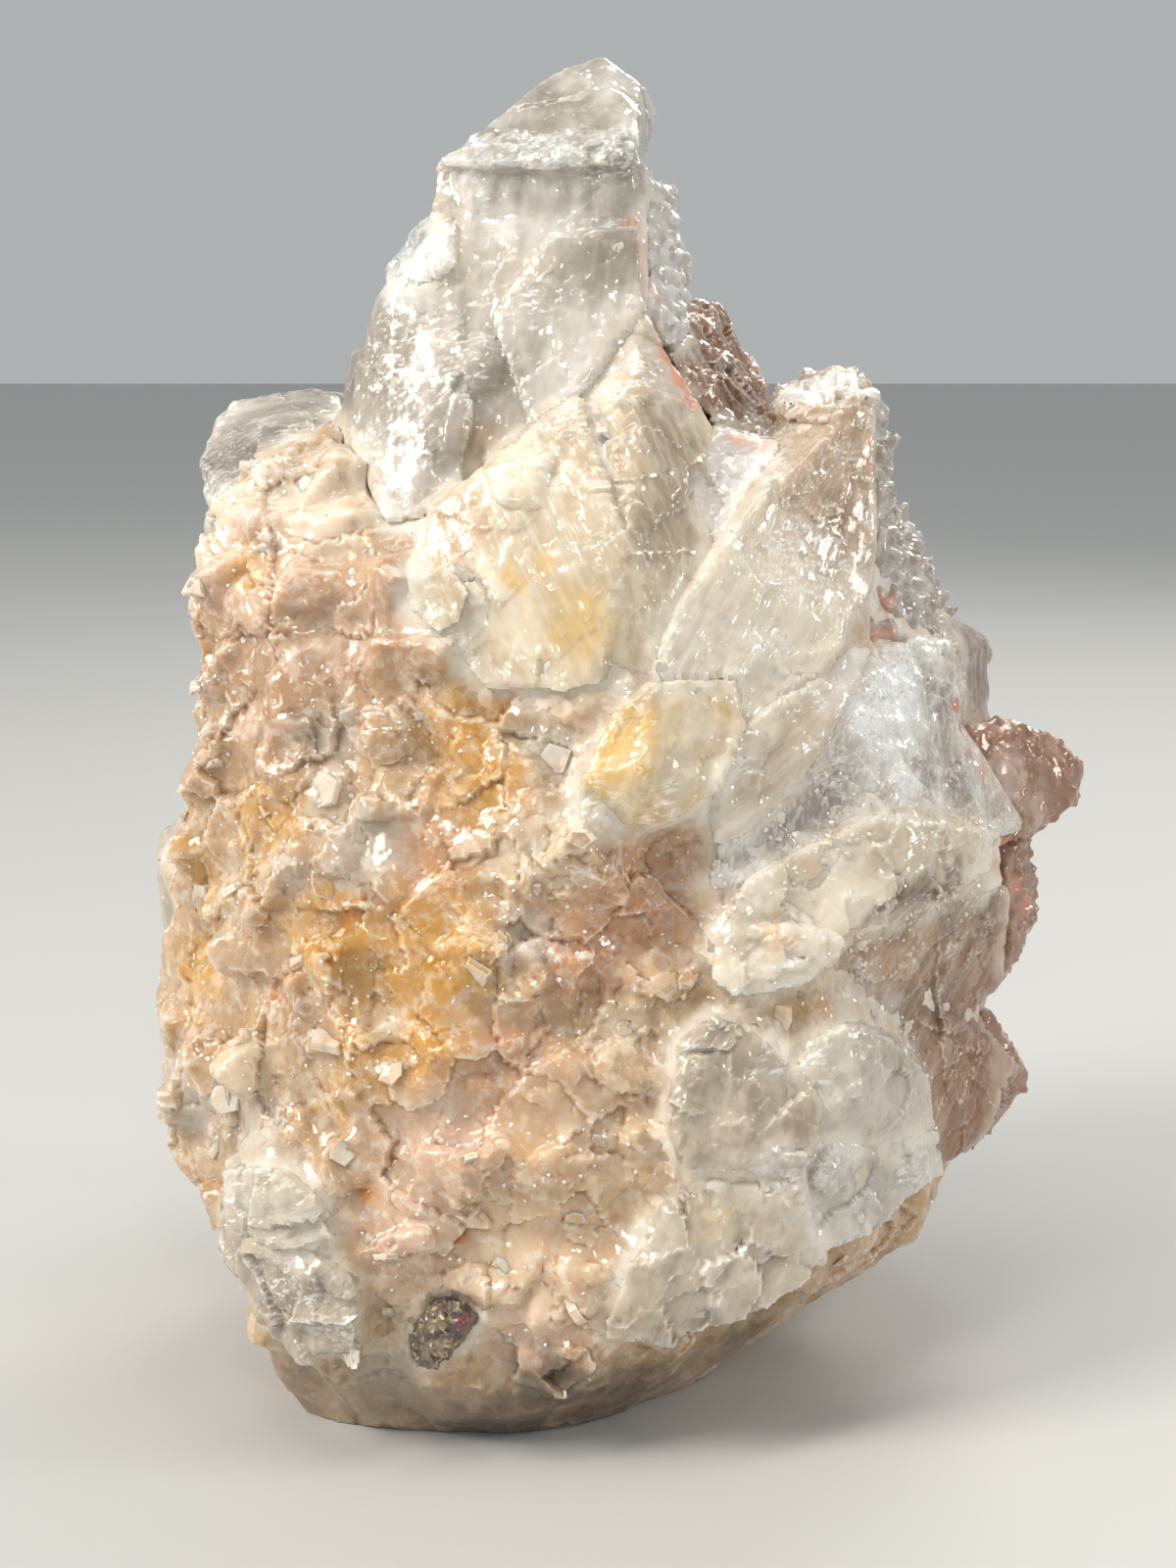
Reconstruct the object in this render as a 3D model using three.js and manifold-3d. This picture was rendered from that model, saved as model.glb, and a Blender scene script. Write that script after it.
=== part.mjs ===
// A hand-sized mineral specimen, broken from the wall of a crystal-lined pocket: granular matrix
// at the left, pale cleaved crystals at the right and top, and stilbite crusts along the right
// edge. It stands on its flattened lower end. Millimetres, Z up. The broken face looks to -Y,
// and the resting face lies at Z = 0.
import * as THREE from "three";
import { ConvexGeometry } from "three/addons/geometries/ConvexGeometry.js";
import { mergeVertices } from "three/addons/utils/BufferGeometryUtils.js";
import Module from "manifold-3d";

const wasm = await Module();
wasm.setup();

// Driving dimensions
const WIDTH = 107;
const DEPTH = 80;
const MATRIX_HEIGHT = 126;
const GAP = 0.45;
const LUMP_SIZE = 4.6;
const BACK_CRYSTAL_SIZE = 11.5;

// Colours, as three.js hex values
const PEACH = 0xe6cdb4;
const CREAM = 0xe9dfca;
const SMOKE = 0xd8cfc4;
const MILK = 0xefece6;
const TAN = 0xdcc5aa;
const AMBER = 0xe8cd93;
const SILVER = 0xd5d8da;
const PINK = 0xe2a892;
const BROWN = 0xb08468;
const ORE = 0x6f675c;

// Even pseudo-random numbers from 0 to 1, the same on every run
const scatter = (seed) => {
  const wave = Math.sin(seed * 127.1 + 11.7) * 43758.5453;
  return wave - Math.floor(wave);
};
const spread = (seed) => 2 * scatter(seed) - 1;
const mix = (low, high, share) => low + (high - low) * share;

// A closed solid from a geometry, kept by position only
function solid(geometry) {
  const shell = geometry.clone();
  shell.deleteAttribute("normal");
  shell.deleteAttribute("uv");
  const merged = mergeVertices(shell, 1e-4);
  return new wasm.Manifold(new wasm.Mesh({
    numProp: 3,
    vertProperties: Float32Array.from(merged.attributes.position.array),
    triVerts: Uint32Array.from(merged.index.array),
  }));
}

const middleOf = (points) => points
  .reduce((sum, point) => sum.add(point), new THREE.Vector3())
  .divideScalar(points.length);

// A flat-faced convex block through the corner points given
const hull = (points) => solid(new ConvexGeometry(points));

// The same block, grown evenly by the gap that a neighbouring crystal keeps to it
function grownHull(points) {
  const grown = [];
  for (const point of points) {
    for (const axis of [0, 1, 2]) {
      for (const way of [-GAP, GAP]) {
        grown.push(point.clone().setComponent(axis, point.getComponent(axis) + way));
      }
    }
  }
  return hull(grown);
}

// The same block, stretched about its middle until its nearest face has moved by the gap: the
// socket that it leaves in the matrix
function socketHull(points) {
  const middle = middleOf(points);
  const position = new ConvexGeometry(points).attributes.position;
  const plane = new THREE.Plane();
  let nearest = Infinity;
  for (let index = 0; index < position.count; index += 3) {
    const [a, b, c] = [0, 1, 2].map(
      (step) => new THREE.Vector3().fromBufferAttribute(position, index + step),
    );
    const distance = Math.abs(plane.setFromCoplanarPoints(a, b, c).distanceToPoint(middle));
    nearest = Math.min(nearest, distance);
  }
  const stretch = 1 + GAP / nearest;
  return hull(points.map((point) => middle.clone().lerp(point, stretch)));
}

// The corners of a crystal as points
const corners = (rows) => rows.map((row) => new THREE.Vector3(...row));

// The corners of a crystal from its broken front face: that face, and every other corner of it carried back by
// `reach`, drawn in to the middle by `taper`, and shifted by `lean` sideways and up
function block(front, reach, taper = 0.8, lean = [0, 0]) {
  const face = corners(front);
  const middle = middleOf(face);
  const alternate = face.filter((corner, index) => index % 2 === 0);
  const rear = alternate.map((corner) => new THREE.Vector3(
    mix(middle.x, corner.x, taper) + lean[0],
    mix(middle.y, corner.y, taper) + reach,
    mix(middle.z, corner.z, taper) + lean[1],
  ));
  return [...face, ...rear];
}

// Crown: one tall crystal with a leaning tip, a rough ledge, a growth step and a left flank.
// Its large blocks narrow towards the back as well as towards the top.
const crown = [
  corners([[-16, -12, 131.5], [-11, -9, 135], [-3.5, -3, 142], [1.5, 0, 144], [4, -1, 142],
    [5.5, -2, 141], [7.5, 4, 138.5], [5, -12, 134.5], [4.5, -14, 131.5], [-9, 3, 134.5],
    [-13, 3, 131.5], [2, 5, 141], [6, 8, 131.5]]),
  block([[-15.5, -14.5, 132.5], [-15.2, -15, 131.8], [-8, -14, 135], [4.5, -15, 135.2],
    [5, -17, 132], [-4, -17.5, 131.3], [-10, -17, 131.5]], 9),
  corners([[-15.8, -12, 131.8], [5, -14, 131.8], [7, 2, 131.8], [5.5, -19, 117], [-1, -23, 108],
    [-3.5, -25, 103], [-10, -26, 100.5], [-15, -22, 112], [-16, -14, 127.5], [-13.5, 4, 131.8],
    [6.5, 9, 130], [7, 13, 112], [-4, 15, 101], [-15, 12, 104]]),
  corners([[-22, -16, 118], [-20.5, -17.5, 119.5], [-15.5, -15.5, 123], [-14, -18, 121],
    [-12, -26, 106.5], [-14, -28, 97], [-20.5, -28, 95.5], [-25, -20, 104.5],
    [-24, -17, 112.5], [-20, 0, 117], [-14, 5, 120], [-13, 10, 100], [-23, 7, 99]]),
  block([[-3.5, -18.6, 124.5], [5, -19, 125.3], [5.5, -21.5, 116.5], [0, -25.5, 109.5],
    [-5.5, -27, 104.5], [-10, -21.5, 116]], 6),
  block([[-23, -14, 113], [-25.5, -9, 112], [-27, -8, 103.5], [-28.5, -9, 99.5],
    [-24, -16, 98]], 10),
];

// A clear chip on the left edge of the crown
const sideChip = [
  block([[-15.5, -14, 127], [-14, -17, 125], [-14, -18.5, 121.5], [-16.5, -19, 120],
    [-19, -18, 119], [-21, -15.5, 119], [-21.5, -13.5, 121], [-20, -12.5, 123],
    [-18, -12, 125.5]], 5, 0.7),
];

// Left shoulder: a clear, finely ridged crystal set back behind the matrix
const shoulder = [
  block([[-39.5, -2, 106.5], [-33, 0, 107.4], [-28.5, 2, 107.4], [-27, -6, 103.5],
    [-30.5, -14, 99], [-37, -19, 94], [-41, -14, 94.5], [-42.5, -8, 100.5],
    [-41.2, -3, 104.5]], 18, 0.85, [2, -1]),
  block([[-36, -8, 104.8], [-31, -6, 105.6], [-29.5, -12, 101.5], [-35.5, -15, 100.5]], 8),
];

// Centre crystal: two cleavage faces meeting on a ridge, with a thin scale at its left
const centre = [
  block([[-1, -27, 108], [-3.5, -30, 103.5], [-10, -30, 101], [-16, -30, 97], [-17, -33, 90.5],
    [-15, -35, 85.5], [-10, -37, 80], [-2.5, -38.5, 79.5], [1, -39, 80.5],
    [4, -37.5, 93.5]], 14),
  block([[-3, -25.5, 106], [5.5, -21, 116.5], [9.5, -22, 109.5], [13, -23, 104.5],
    [10.4, -27.6, 98.6], [4.4, -37, 93], [0.5, -35.5, 93.5]], 13),
  block([[8.5, -27.6, 101], [12.5, -30, 93], [9, -34, 87], [6.5, -37, 81], [0.2, -38.2, 80.1],
    [1, -36.6, 92], [4.2, -37.4, 93.3], [1.2, -29.5, 102.5]], 13),
  block([[-10, -31, 101], [-3.5, -31.5, 103], [-5, -33.5, 97.5], [-9, -33, 98]], 4),
  block([[-17.8, -33.5, 90.6], [-14.2, -35, 91.6], [-12, -36.5, 89.4], [-12.8, -37, 86.4],
    [-15, -36.5, 85.4], [-18, -34.5, 87.6]], 3),
];

// Snow-white wedge in the notch between the centre crystal and the blade
const wedge = [
  block([[13.5, -20, 104.5], [16.5, -19, 103.8], [20, -20, 103], [18, -23.5, 99],
    [13.5, -29.5, 93], [10.5, -28, 96], [10.5, -25.5, 98.5], [12, -22, 102]], 15),
];

// Blade: a tall tan plate with a lower foot and a sparkling cap of small crystals
const blade = [
  block([[20.5, -15, 103.5], [23, -14, 105.8], [27, -13.5, 107], [30.5, -13, 108],
    [30, -22, 88], [26.5, -27.5, 82.5], [14.5, -35, 80.5], [6.5, -38, 80.5], [9, -36, 87],
    [13.5, -32, 93], [18, -24.5, 99]], 13),
  block([[14.5, -34.5, 81], [26.5, -28, 83], [22, -31, 77.5], [20, -32, 75],
    [15.5, -35, 75]], 8),
  block([[20, -12, 106.5], [21.5, -11.5, 108.5], [24.5, -11, 109.6], [28.5, -9, 110.3],
    [30.6, -10, 109.5], [31, -13, 107.5], [27, -16.5, 105.8], [25, -17.5, 105.2],
    [22, -16.5, 105.6]], 9),
];

// Golden crystal below the centre
const amber = [
  block([[6, -38, 80], [3.5, -39, 78.5], [1, -41, 74.5], [-0.5, -42, 71.5], [-0.5, -42, 68],
    [1.5, -42, 66.5], [6, -43, 73], [8, -42.5, 67], [13, -40, 70], [15.5, -37, 75.5],
    [14.5, -35, 79.8], [9, -37.5, 80]], 9),
];

// Long narrow crystal running down and left below the blade
const longCrystal = [
  block([[27.5, -25.5, 82], [29.5, -24, 81.5], [26.5, -28.5, 78], [25.5, -31, 75.5],
    [23, -34, 72], [20.5, -36, 69], [15.5, -38.5, 65.5], [13, -39.5, 64.5], [12, -39.5, 67],
    [13.5, -39, 71], [15.5, -37, 75], [22, -31.5, 78]], 9),
];

// Mirror-bright cleavage crystal and the dark step below it
const mirror = [
  block([[30, -22, 81], [35.5, -18.5, 81.8], [39.5, -15, 81], [40.5, -17, 71], [30.5, -28.5, 68],
    [25, -33, 64], [18, -37.5, 59.5], [12, -40, 59.5], [13.5, -39, 64], [20.5, -34.5, 69],
    [26, -28, 77.5]], 16, 0.85, [2, 0]),
  block([[40, -16.5, 72], [43.5, -15, 67], [48, -12, 60], [38, -23, 61], [30, -29.5, 62.5],
    [31, -29, 68.5]], 18, 0.9, [2, 0]),
];

// Ridge crystal: two long cream ridges with a dark valley between them
const ridge = [
  block([[30, -31.5, 65.5], [37.5, -27, 63.5], [45, -17, 60], [45.5, -16, 54.5],
    [37.5, -28, 57.5], [33, -32, 56.5], [26, -37, 54.5], [18, -40, 54], [13.5, -41, 56],
    [16, -40, 60]], 12),
  block([[12.5, -41.5, 55.5], [20, -41, 55.8], [26, -38.5, 53.8], [25, -39.5, 52],
    [22, -41.5, 50], [16.5, -43, 49], [13, -42.5, 51]], 8),
  block([[16.5, -42.5, 47.5], [20, -42, 49.5], [27, -39, 49.5], [27, -39.5, 45.5],
    [22, -41.5, 45], [16.5, -43, 45.3]], 6),
];

// Fan crystal: the large striated crystal of the lower right corner
const fan = [
  block([[26.5, -35, 53], [33, -30, 54], [44.5, -16, 54.5], [48.5, -8, 51], [50.2, -6, 47.5],
    [48.5, -7, 42.5], [44, -10, 38.5], [34, -25, 36], [24.5, -37, 39], [22, -38, 48]], 22, 0.85),
  block([[34, -26, 46], [43.6, -10, 38.5], [46.5, -9, 35], [49.8, -9, 30.2], [47, -12, 27],
    [43, -15.5, 24], [36, -27, 24.5], [29, -34, 30], [25, -37, 39]], 22, 0.85),
];

// Milky rounded crystal
const roundCrystal = [
  block([[21.5, -42, 41.5], [23.5, -42, 44.5], [26, -41, 45.5], [29, -39, 44.5],
    [32.5, -37, 41.5], [35.5, -33.5, 37.5], [36.5, -32.5, 32], [30.5, -37, 31.5],
    [23.5, -42, 34], [27, -43, 39]], 9),
];

// White tongue-shaped crystal left of it
const tongue = [
  block([[9.5, -43.5, 44.5], [12.5, -43.5, 47], [18, -43.5, 44.5], [21.5, -42.5, 41],
    [23.5, -43, 37.5], [22, -44, 34.5], [15.5, -46.5, 33.3], [13, -47, 32], [9.5, -47, 32.3],
    [8.6, -46.5, 35.5], [8.5, -46, 38.5]], 8),
];

// White crystals below the round one
const lowerCrystal = [
  block([[22, -43, 33.8], [36.5, -33, 31.2], [37.4, -31, 26.5], [33.5, -34, 25.8],
    [32, -36, 24.5], [27.5, -40, 22.8], [23.5, -42.5, 22], [20.5, -44, 27.5]], 9),
  block([[15.5, -45, 33], [18.5, -45.5, 33.4], [22, -45, 33], [21.5, -45, 28.5],
    [18, -45.5, 30]], 5),
];

// White ridge along the lower lip
const footCrystal = [
  block([[8, -45.5, 27.5], [13, -46, 30.5], [20.5, -45, 29], [24, -43, 21.5], [22, -44, 19],
    [17, -45, 16.3], [9, -46.5, 14], [2, -47, 14.5], [4, -47, 22]], 9),
];

// Wavy stepped crystal and milky knob at the lower left
const stepCrystal = [
  block([[-37.5, -42, 30.5], [-33, -44, 31.5], [-28, -46, 29], [-25.5, -47, 25],
    [-30, -46.5, 24], [-36.5, -43, 25]], 7),
];
const milkyKnob = [
  block([[-38.5, -36, 22.5], [-34, -43, 24], [-28, -46, 23.2], [-24, -47.5, 19.5],
    [-23.5, -47, 11.5], [-29.5, -44.5, 11], [-34.5, -40, 15], [-37.5, -36, 18]], 9),
];

// Smooth grey crystal behind the left edge
const rearLeft = [
  block([[-45.5, -9, 60.5], [-48.6, -5, 58], [-49.4, -4, 52], [-48.4, -6, 44],
    [-47.6, -8, 38], [-45, -12, 34], [-38, -14, 36], [-38, -12, 60]], 18, 0.85, [1, 0]),
];

// Crystal column at the right of the mirror
const sideColumn = [
  block([[39, -9, 83.2], [42.5, -6, 81.8], [45.2, -3, 80.2], [45.8, -2, 78.5],
    [45, -5, 71], [42, -10, 70], [39.5, -14, 79]], 14, 0.9, [-4, -2]),
];

// Sparkling crusts of small crystals along the right of the blade and of the crown
const bladeDruse = [
  block([[30.6, -12, 107], [31.8, -7, 106.6], [33, -5, 100], [33.2, -4, 94.5],
    [30.5, -18, 94], [30.4, -15, 100]], 12, 0.9, [-4, 0]),
  block([[30.5, -18, 95], [33.2, -5, 94.8], [36.4, -4, 92], [38.6, -3, 87], [41, -3, 82.8],
    [38.5, -12, 79.5], [36, -16, 79.5], [30, -21.5, 82]], 16, 0.9, [-4, -3]),
];
const crownDruse = [
  block([[5, -13, 131], [7, -9, 130.8], [9.4, -5, 129.2], [9.2, -5, 125.5], [10.2, -5, 122.5],
    [10.2, -8, 116.5], [10.6, -12, 113.5], [8.5, -17, 113], [6, -18.5, 117],
    [5, -15, 125.5]], 14, 0.9, [-2, -1]),
];

// Stilbite: a brown sheaf behind the notch, a pink point, and pink rims down the right edge
const brownStilbite = [
  block([[10, 0, 116.8], [12.5, 3, 117.6], [14.5, 4, 117.2], [16.5, 5, 114], [18.5, 5, 110.6],
    [19, 4, 107.5], [21.5, 0, 103.5], [18.5, -10, 101], [15, -12, 103.5], [10, -14, 109],
    [8, -13, 114]], 13),
];
const pinkPoint = [
  block([[42, -13, 71], [46, -8, 71.2], [51, -4, 69.2], [54, -3, 68.2], [56.3, -2, 65.8],
    [57.7, -1, 64], [50, -9, 58.5], [45, -15, 58], [43, -15.5, 65.5]], 14, 0.85, [-4, -1]),
  block([[46, -11, 65], [54, -5, 65.5], [56.8, -3, 61.3], [53.2, -5, 59.6],
    [50, -8, 57.5]], 10),
];
const middleRim = [
  block([[46.5, -12, 59.5], [50.5, -5, 57.5], [49.8, -4, 52.5], [51.4, -4, 50.4],
    [51.8, -4, 48], [50.6, -4, 45.5], [49.8, -4, 42.8], [46.5, -8, 40.5],
    [47.5, -12, 46]], 10, 0.9, [-4, 0]),
];
const cornerRim = [
  block([[44.6, -10, 38.6], [46.6, -7, 36.8], [48.8, -7, 33.6], [51, -7, 29.4],
    [50.4, -7, 28], [48.2, -8, 25.6], [44, -12, 22.8], [42, -16, 23.5], [46.5, -13, 29]], 9),
];

// Metallic ore grain in the matrix, above the lower lip
const oreGrain = [
  block([[-18, -46, 13.5], [-17.5, -47, 15.5], [-15.5, -48, 17.8], [-13, -48, 18],
    [-11.5, -46.5, 16.2], [-12.2, -47, 14.8], [-14.5, -48.5, 14], [-16, -47.5, 11.3],
    [-17.5, -46, 11]], 5),
];

// Matrix: rings from the base to the top. Each row is a height, the left and right ends, the
// front and back, and how far forward the left and right ends lie.
const RINGS = [
  [0, -30.5, 13, -38, 26, -33, -24],
  [3, -32.5, 18, -40, 28, -34, -23],
  [9, -34.5, 29.5, -44, 29, -35, -19],
  [15, -37, 36.5, -45, 29, -34, -17],
  [21, -41.5, 41, -45, 29, -28, -15],
  [28, -45, 42, -45, 29, -24, -12],
  [36, -46.5, 42, -44.5, 29, -22, -8],
  [45, -46.5, 42, -43.5, 29, -20, -4],
  [53, -45.5, 43, -42, 28, -20, 0],
  [61, -43.5, 42, -41, 27, -24, 2],
  [70, -41, 38, -38.5, 26, -26, 4],
  [79, -40.5, 34, -36, 24, -26, 5],
  [87, -41, 30, -32.5, 22, -25, 6],
  [93, -42, 27, -29, 20, -24, 6],
  [99, -38, 22, -25, 18, -20, 6],
  [106, -24, 15, -12, 17, -4, 6],
  [115, -16, 9, -5, 14, 2, 6],
  [MATRIX_HEIGHT, -9, 6, 1, 11, 3, 7],
];
const LEFT_SQUARENESS = 3.2;
const RIGHT_FALL = 1.7;
const BACK_SQUARENESS = 2.4;
const FRONT_COLUMNS = 15;
const BACK_COLUMNS = 9;
const LEVELS = 25;
const CELL_PITCH = 8.5;
const CELL_STEP = 1.7;
const CELL_TILT = 0.3;

// The ring at any height, between the two rows around it
function ringAt(height) {
  const above = RINGS.findIndex((ring) => ring[0] >= height);
  if (above <= 0) return RINGS[above === 0 ? 0 : RINGS.length - 1];
  const [low, high] = [RINGS[above - 1], RINGS[above]];
  const share = (height - low[0]) / (high[0] - low[0]);
  return low.map((value, index) => mix(value, high[index], share));
}

// A point of the matrix surface: `across` runs from -1 at the left end to 1 at the right end
function surfacePoint(across, height, onFront) {
  const [, left, right, front, back, leftEdge, rightEdge] = ringAt(height);
  const edge = across < 0 ? leftEdge : rightEdge;
  const power = across < 0 ? LEFT_SQUARENESS : RIGHT_FALL;
  const share = Math.abs(across) ** (onFront ? power : BACK_SQUARENESS);
  return new THREE.Vector3(
    mix(left, right, (across + 1) / 2),
    mix(onFront ? front : back, edge, share),
    height,
  );
}

// How far the surface stands forward of its ring at a place on it: scattered cells, each a flat
// tilted facet at its own depth, so that their borders make ledges
function facetRelief(x, height, side) {
  let nearest = Infinity;
  let relief = 0;
  const [cellX, cellZ] = [Math.floor(x / CELL_PITCH), Math.floor(height / CELL_PITCH)];
  for (const stepX of [-1, 0, 1]) {
    for (const stepZ of [-1, 0, 1]) {
      const seed = 17 * (cellX + stepX) + 3.1 * (cellZ + stepZ) + 101 * side;
      const offsetX = x - CELL_PITCH * (cellX + stepX + scatter(seed));
      const offsetZ = height - CELL_PITCH * (cellZ + stepZ + scatter(seed + 0.3));
      const distance = Math.hypot(offsetX, offsetZ);
      if (distance < nearest) {
        nearest = distance;
        relief = CELL_STEP * spread(seed + 0.5)
          + CELL_TILT * (offsetX * spread(seed + 0.7) + offsetZ * spread(seed + 0.9));
      }
    }
  }
  return relief;
}

// The body of the matrix: a globe whose rows and columns are moved to the rings
function matrixBody() {
  const columns = FRONT_COLUMNS + BACK_COLUMNS;
  const globe = new THREE.SphereGeometry(1, columns, LEVELS + 2);
  const position = globe.attributes.position;
  for (let index = 0; index < position.count; index += 1) {
    const row = Math.floor(index / (columns + 1));
    const column = (index % (columns + 1)) % columns;
    const level = THREE.MathUtils.clamp(LEVELS + 1 - row, 0, LEVELS);
    const height = level * MATRIX_HEIGHT / LEVELS;
    const [, left, right, front, back] = ringAt(height);
    const onFront = column < FRONT_COLUMNS;
    const turn = onFront
      ? -1 + 2 * column / FRONT_COLUMNS
      : 1 - 2 * (column - FRONT_COLUMNS) / BACK_COLUMNS;
    const point = surfacePoint(Math.sin(turn * Math.PI / 2), height, onFront);
    if (row === 0 || row === LEVELS + 2) {
      point.set((left + right) / 2, (front + back) / 2, height);
    } else if (level > 0) {
      const seed = column + 31 * level;
      const outward = onFront ? -1 : 1;
      const share = Math.cos(turn * Math.PI / 2) ** 0.5;
      point.x += 0.8 * spread(seed);
      point.y += outward * share * facetRelief(point.x, point.z, outward);
      point.z += 0.9 * spread(seed + 0.6);
    }
    position.setXYZ(index, point.x, point.y, point.z);
  }
  return solid(globe);
}

// A cleavage lump: a skewed block with flat faces, turned a little from square
function lump(centre, size, seed) {
  const turn = new THREE.Euler(0.5 * spread(seed), 0.9 * spread(seed + 0.2),
    0.5 * spread(seed + 0.4));
  const points = [];
  for (const x of [-1, 1]) {
    for (const y of [-1, 1]) {
      for (const z of [-1, 1]) {
        const point = new THREE.Vector3(x + 0.25 * z, 0.85 * y, 0.8 * z)
          .multiplyScalar(size * mix(0.75, 1.05, scatter(seed + 0.3 * x + 0.5 * y + 0.7 * z)))
          .applyEuler(turn).add(centre);
        point.x = Math.max(point.x, ringAt(point.z)[1] - 0.4);
        points.push(point);
      }
    }
  }
  return hull(points);
}

// Where the crystals take over from the matrix on the front: a height and the last x of matrix
const CRYSTAL_LINE = [[0, 14], [12, 0], [20, 2], [29, 8], [40, 8], [50, 12], [58, 10],
  [66, -2], [74, -4], [80, -12], [87, -18], [96, -20], [102, -26], [MATRIX_HEIGHT, -30]];

function crystalLine(height) {
  const above = Math.max(CRYSTAL_LINE.findIndex((row) => row[0] >= height), 1);
  const [low, high] = [CRYSTAL_LINE[above - 1], CRYSTAL_LINE[above]];
  return mix(low[1], high[1], (height - low[0]) / (high[0] - low[0]));
}

// Lumps of the matrix on its broken front, from the lip upward
function frontLumps() {
  const lumps = [];
  const rowPitch = 2.1 * LUMP_SIZE;
  const columnPitch = 2.2 * LUMP_SIZE;
  for (let height = 12; height < 101; height += rowPitch) {
    const [, left, right] = ringAt(height);
    const last = crystalLine(height);
    let seed = height;
    for (let x = left + 0.5 * LUMP_SIZE; x < last; x += columnPitch) {
      seed += 1.37;
      const size = LUMP_SIZE * mix(0.7, 1.15, scatter(seed));
      const place = x + 1.5 * spread(seed + 0.2);
      const rise = height + 2 * spread(seed + 0.5);
      const across = 2 * (place - left) / (right - left) - 1;
      const centre = surfacePoint(Math.max(across, -1), Math.min(rise, 100), true);
      centre.x = Math.max(centre.x, left + 0.85 * size);
      centre.y += mix(0.35, 0.7, scatter(seed + 0.8)) * size;
      lumps.push(lump(centre, size, seed));
    }
  }
  return lumps;
}

// Lumps on the left edge, behind the broken front
function leftLumps() {
  const lumps = [];
  for (let height = 8; height < 96; height += 11) {
    const [, left, , , , leftEdge] = ringAt(height);
    for (const setBack of [6, 20]) {
      const seed = height + setBack;
      const size = 1.2 * LUMP_SIZE * mix(0.8, 1.1, scatter(seed));
      const centre = new THREE.Vector3(left + size + 1.2 * scatter(seed + 0.3) + 0.08 * setBack,
        leftEdge + setBack + 3 * spread(seed + 0.5), height);
      lumps.push(lump(centre, size, seed));
    }
  }
  return lumps;
}

// Large blunt crystals crowded over the back, leaning up and outward, each with a chisel edge
function backCrystals() {
  const crystals = [];
  const rowPitch = 1.5 * BACK_CRYSTAL_SIZE;
  let row = 0;
  for (let height = 17; height < 112; height += rowPitch) {
    row += 1;
    const [, left, right] = ringAt(height);
    const count = Math.max(Math.round((right - left) / (1.8 * BACK_CRYSTAL_SIZE)), 1);
    for (let index = 0; index < count; index += 1) {
      const seed = 5 * row + 0.7 * index;
      const across = 0.95 * (2 * (index + 0.5 + 0.25 * (-1) ** row) / count - 1);
      const seat = surfacePoint(across, height + 3 * spread(seed), false);
      const size = BACK_CRYSTAL_SIZE * mix(0.85, 1.15, scatter(seed + 0.1));
      const out = new THREE.Vector3(0.8 * across + 0.15, 1, 0.35 + 0.2 * spread(seed + 0.4));
      out.normalize();
      const side = new THREE.Vector3(0, 0, 1).cross(out).normalize();
      const upward = out.clone().cross(side);
      const points = [];
      const at = (angle, radius, depth) => seat.clone()
        .addScaledVector(side, radius * size * Math.cos(angle))
        .addScaledVector(upward, radius * size * Math.sin(angle))
        .addScaledVector(out, depth * size);
      for (let corner = 0; corner < 5; corner += 1) {
        const angle = 2 * Math.PI * corner / 5 + 3 * scatter(seed + 0.6);
        points.push(at(angle, 1, -1));
        points.push(at(angle, 0.9, mix(-0.1, 0.3, scatter(seed + 1.3 * corner))));
      }
      const chisel = 3 * scatter(seed + 0.8);
      points.push(at(chisel, 0.3, 0.72), at(chisel + Math.PI, 0.3, 0.66));
      crystals.push(hull(points));
    }
  }
  return crystals;
}

// Thin plates standing proud of the matrix: x, height, width, tall, lean to the right and turn
const PLATES = [
  [-39.5, 39, 8, 8, 0.35, 0.2],
  [-31, 70.5, 6.5, 8, -0.3, 0.5],
  [-24.5, 63.5, 7, 5, 0.3, 0.1],
  [-20.5, 75, 5, 5, 0.2, 0.9],
  [-7.5, 51.5, 8, 6, -0.25, 0.4],
  [-22, 42.5, 6, 5, 0.3, 0.7],
  [-30.5, 35, 4, 5, -0.3, 0.3],
  [3, 42, 5, 5, 0.25, 0.2],
  [-28.5, 48, 6, 5, 0.1, 0.6],
  [-17, 29, 4, 4, 0.2, 0.8],
];
const PLATE_THICKNESS = 2.6;
const PLATE_STAND = 1.6;

function plates() {
  return PLATES.map(([x, height, width, tall, lean, turn]) => {
    const [, left, right] = ringAt(height);
    const seat = surfacePoint(2 * (x - left) / (right - left) - 1, height, true);
    const placing = new THREE.Euler(-0.25, turn, lean);
    const points = [];
    for (let corner = 0; corner < 6; corner += 1) {
      const angle = Math.PI * corner / 3 + 0.35 * scatter(x + corner);
      for (const depth of [-PLATE_STAND, PLATE_THICKNESS]) {
        points.push(new THREE.Vector3(
          width / 2 * Math.cos(angle),
          depth,
          tall / 2 * Math.sin(angle),
        ).applyEuler(placing).add(seat));
      }
    }
    return hull(points);
  });
}

// Everything that one solid is joined from
const join = (pieces) => pieces.reduce((whole, piece) => whole.add(piece));

// The largest of the separate bodies in a solid, so that no crumb is left beside it
function largestBody(whole) {
  const bodies = whole.decompose();
  return bodies.reduce((best, body) => (body.volume() > best.volume() ? body : best));
}

// What lies below the resting face is cut off flat
function groundBlock() {
  const block_ = new THREE.BoxGeometry(3 * WIDTH, 3 * DEPTH, DEPTH);
  block_.translate(0, 0, -DEPTH / 2);
  return solid(block_);
}

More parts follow.
